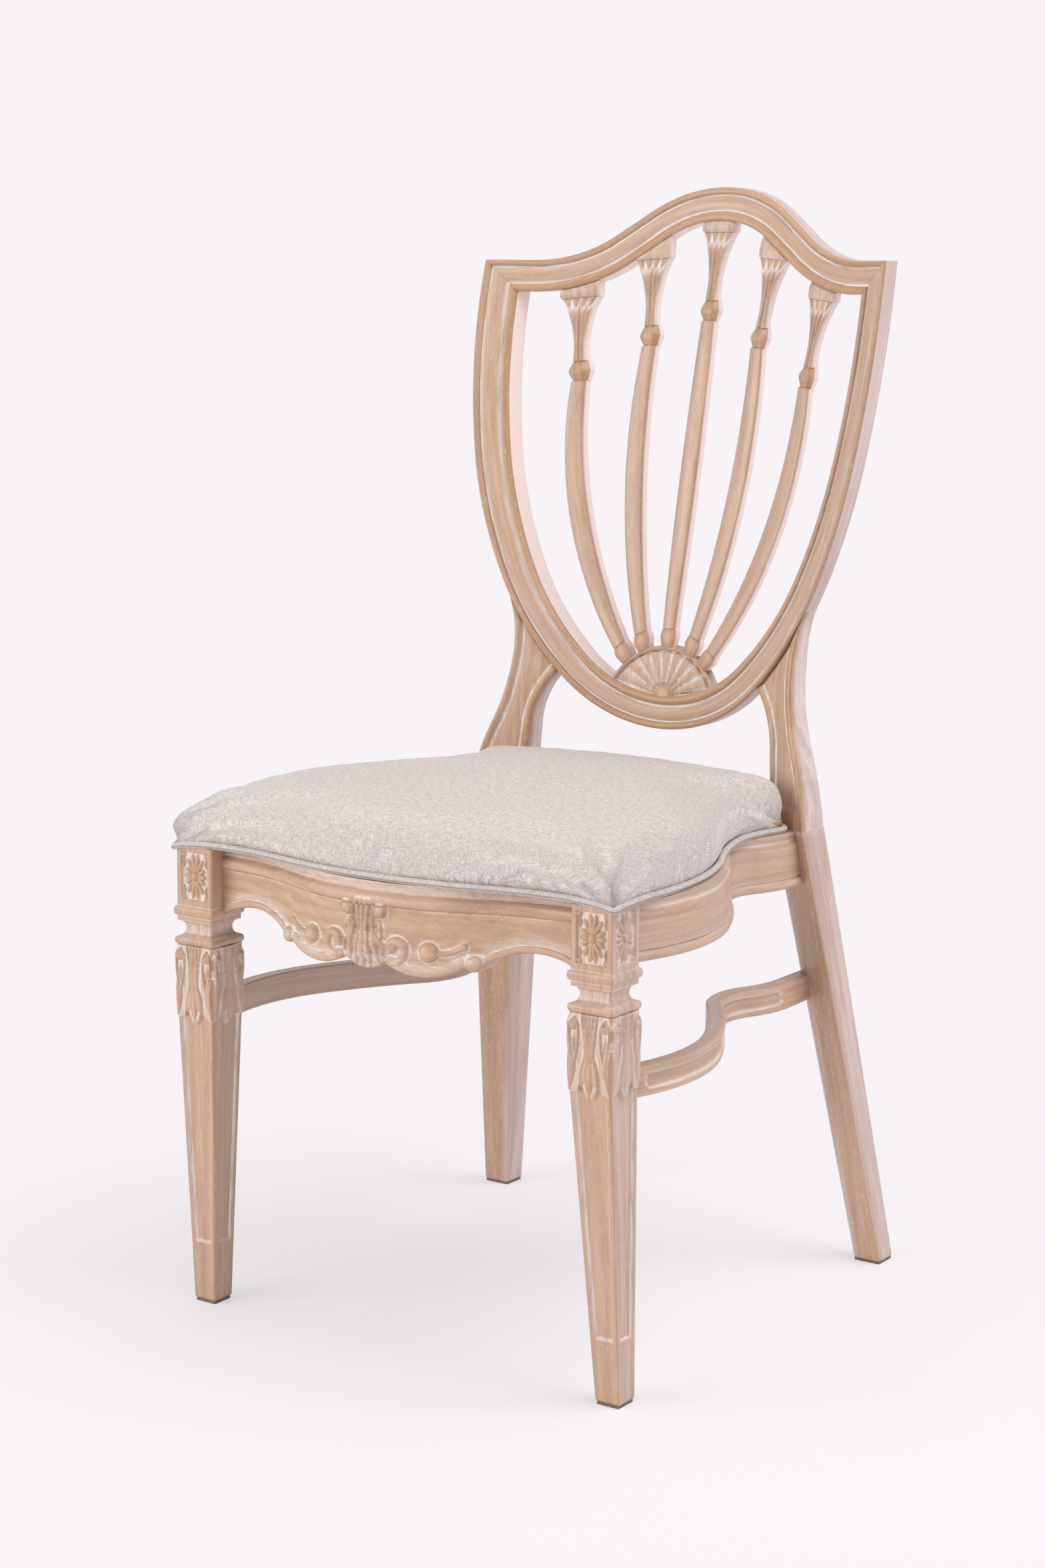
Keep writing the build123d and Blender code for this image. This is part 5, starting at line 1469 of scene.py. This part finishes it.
def tuck(piece):
    """Folds the cover at the front corners, just above the piping."""
    spots = points_of(piece)
    for sign in (-1.0, 1.0):
        corner = np.array([sign * PAD_CORNER_SPOT[0], PAD_CORNER_SPOT[1] + DEPTH_SHIFT]) * METRES
        flat = spots[:, :2] - corner
        far = np.linalg.norm(flat, axis=1)
        across = flat @ np.array([sign * 0.71, 0.71])
        height = spots[:, 2] - (SEAT_TOP + TUCK_BASE) * METRES
        above = np.clip(height, 0, 1)
        near = bell(far, 0.030) * np.exp(-above / 0.020)
        fold = bell(across - 0.25 * height, 0.004)
        puff = bell(np.abs(across) - 0.012, 0.007)
        droop = bell(far, 0.016) * np.exp(-above / 0.012)
        spots[:, :2] += (near * (0.005 * fold - 0.003 * puff))[:, None] * np.array([-sign * 0.71, 0.71])
        spots[:, 2] -= METRES * PIPING_DROOP * droop
    set_points(piece, spots)
    modifier = piece.modifiers.new("smooth", "SUBSURF")
    modifier.levels = 1
    modifier.render_levels = 1
    apply_modifiers(piece)


def weave(piece):
    """Lays the cloth's own coordinates over the pad: level across the top, down over the sides."""
    spots = points_of(piece)
    facing = np.empty(spots.size)
    piece.data.vertices.foreach_get("normal", facing)
    drop = np.clip((SEAT_TOP + PAD_EDGE) * METRES - spots[:, 2], 0, 1)
    cloth = spots + facing.reshape(-1, 3) * drop[:, None]
    cloth[:, 2] = 0.0
    paint(piece.data, "cloth", cloth)


def build_piping():
    points, angles = pad_line()
    line = closed_ring(points + normals(angles) * PIPING_INSET, PIPING_POINTS)
    line = np.roll(line, -int(np.argmax(line[:, 1])), 0)
    inwards = (PAD_MIDDLE - line) / np.linalg.norm(PAD_MIDDLE - line, axis=1)[:, None]
    line = line + inwards * (PIPING_CORNER_DRAW * corner_closeness(line, 16.0))[:, None]
    onward = np.roll(line, -1, 0) - np.roll(line, 1, 0)
    onward /= np.linalg.norm(onward, axis=1)[:, None]
    out = np.stack([onward[:, 1], -onward[:, 0]], 1)
    droop = PIPING_DROOP * corner_closeness(line, 11.0)
    turns = np.linspace(0, 2 * math.pi, 12, endpoint=False)
    rings = np.empty((len(line), len(turns), 3))
    rings[..., :2] = line[:, None] + out[:, None] * (PIPING_RADIUS * np.cos(turns))[None, :, None]
    rings[..., 2] = (SEAT_TOP + PIPING_RADIUS - droop)[:, None] + PIPING_RADIUS * np.sin(turns)[None]
    piece = plain_skin("linen_piping", rings, 80.0, looped=True)
    run = np.arange(len(line))[:, None] * np.linalg.norm(line[1] - line[0])
    around = PIPING_RADIUS * turns[None]
    cloth = np.stack([run + around, around - run, 0 * (run + around)], -1)
    paint(piece.data, "cloth", cloth.reshape(-1, 3) * METRES * BIAS_CUT)
    place(piece, PIPING_LINEN, "linen", "seat_piping")


def build_lining():
    """Thin cloth stretched under the board, hanging a little below it in the middle."""
    edge = PAD_MIDDLE + (pad_ring(0.0) - PAD_MIDDLE) * LINING_SHARE
    shares = [0.04, 0.2, 0.4, 0.6, 0.75, 0.88, 0.97, 1.0]
    levels = [(share, LINING_LOW) for share in shares] + [(share, LINING_HIGH) for share in shares[::-1]]
    rings = []
    for share, level in levels:
        height = SEAT_TOP + level - LINING_SAG * smooth(0.8, 0.2, share)
        rings.append(np.column_stack([PAD_MIDDLE + (edge - PAD_MIDDLE) * share, np.full(len(edge), height)]))
    piece = plain_skin("seat_lining", np.array(rings), 60.0)
    place(piece, INNER["lining"], "lining", "dust_cover")


# Everything else keeps its solid

def dress_solids():
    looks = {
        "dowels": INNER["dowel"],
        "corner_block": INNER["block"],
        "glide": INNER["glide"],
        "seat_board": INNER["plywood"],
        "seat_screws": INNER["steel"],
        "seam_bolts": INNER["steel"],
    }
    for name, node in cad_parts.items():
        if node.hide_render:
            continue
        material = next((look for word, look in looks.items() if word in name), OAK_PLAIN)
        node.data.materials.clear()
        node.data.materials.append(material)


# Studio

BACKDROP = srgb(247, 243, 246)


def white_floor():
    graph = Graph("floor")
    where = graph.node("ShaderNodeNewGeometry").outputs["Position"]
    flat = graph.node("ShaderNodeVectorMath", {"operation": "MULTIPLY"})
    graph.feed(flat.inputs[0], where)
    flat.inputs[1].default_value = (1.0, 1.0, 0.0)
    far = graph.node("ShaderNodeVectorMath", {"operation": "LENGTH"})
    graph.feed(far.inputs[0], flat.outputs[0])
    path = graph.node("ShaderNodeLightPath")
    seen = graph.math("MAXIMUM", path.outputs["Is Camera Ray"], path.outputs["Is Transmission Ray"])
    fade = graph.math("MULTIPLY", graph.remap(far.outputs["Value"], 0.25, 1.3, 0.55, 1.0), seen)
    mottle = graph.noise(where, 2.0, 2.0, 0.5)
    colour = graph.mix(mottle, srgb(238, 236, 240), srgb(242, 240, 244))
    graph.shade(Base_Color=colour, Roughness=0.9, Specular_IOR_Level=0.1)
    glow = graph.node("ShaderNodeEmission")
    glow.inputs["Color"].default_value = BACKDROP
    blend = graph.node("ShaderNodeMixShader")
    graph.feed(blend.inputs[0], fade)
    graph.feed(blend.inputs[1], graph.shader.outputs["BSDF"])
    graph.feed(blend.inputs[2], glow.outputs["Emission"])
    output = graph.tree.nodes["Material Output"]
    graph.feed(output.inputs["Surface"], blend.outputs["Shader"])
    return graph.material


def build_floor():
    mesh = bpy.data.meshes.new("floor")
    corners = [(x * FLOOR_HALF, y * FLOOR_HALF, 0) for x, y in ((-1, -1), (1, -1), (1, 1), (-1, 1))]
    mesh.from_pydata(corners, [], [(0, 1, 2, 3)])
    floor = bpy.data.objects.new("floor", mesh)
    bpy.context.scene.collection.objects.link(floor)
    mesh.materials.append(white_floor())


def build_world():
    world = bpy.data.worlds.new("studio")
    bpy.context.scene.world = world
    world.use_nodes = True
    nodes = world.node_tree.nodes
    links = world.node_tree.links
    background = nodes["Background"]
    path = nodes.new("ShaderNodeLightPath")
    seen = nodes.new("ShaderNodeMath")
    seen.operation = "MAXIMUM"
    links.new(path.outputs["Is Camera Ray"], seen.inputs[0])
    links.new(path.outputs["Is Transmission Ray"], seen.inputs[1])
    light = nodes.new("ShaderNodeMix")
    light.data_type = "RGBA"
    links.new(seen.outputs[0], light.inputs["Factor"])
    light.inputs["A"].default_value = SKY_LIGHT
    light.inputs["B"].default_value = BACKDROP
    links.new(light.outputs["Result"], background.inputs["Color"])


def lamp(name, spot, target, width, height, power, colour):
    data = bpy.data.lights.new(name, "AREA")
    data.shape = "RECTANGLE"
    data.size = width
    data.size_y = height
    data.energy = power
    data.color = colour
    light = bpy.data.objects.new(name, data)
    light.location = spot
    way = Vector(target) - Vector(spot)
    light.rotation_euler = way.to_track_quat("-Z", "Y").to_euler()
    bpy.context.scene.collection.objects.link(light)


def build_camera():
    azimuth, pitch, roll = (math.radians(angle) for angle in (CAMERA_AZIMUTH, CAMERA_PITCH, CAMERA_ROLL))
    ahead = math.cos(pitch)
    forward = Vector((-math.sin(azimuth) * ahead, math.cos(azimuth) * ahead, -math.sin(pitch)))
    level = Vector((math.cos(azimuth), math.sin(azimuth), 0.0))
    up = level.cross(forward)
    right = level * math.cos(roll) + up * math.sin(roll)
    top = up * math.cos(roll) - level * math.sin(roll)
    data = bpy.data.cameras.new("camera")
    data.sensor_width = SENSOR
    data.lens = SENSOR * FOCAL_PIXELS / IMAGE_LONG_SIDE
    camera = bpy.data.objects.new("camera", data)
    turned = Matrix((right, top, -forward)).transposed().to_4x4()
    turned.translation = Vector(CAMERA_PLACE)
    camera.matrix_world = turned
    bpy.context.scene.collection.objects.link(camera)
    bpy.context.scene.camera = camera


build_camera()
build_world()
build_floor()
for values in LAMPS:
    lamp(*values)
bpy.context.scene.view_settings.view_transform = "Standard"

build_ring()
build_posts()
build_fan()
build_splats()
build_front_apron()
build_front_legs()
build_rear_legs()
build_rails()
build_seat()
dress_solids()
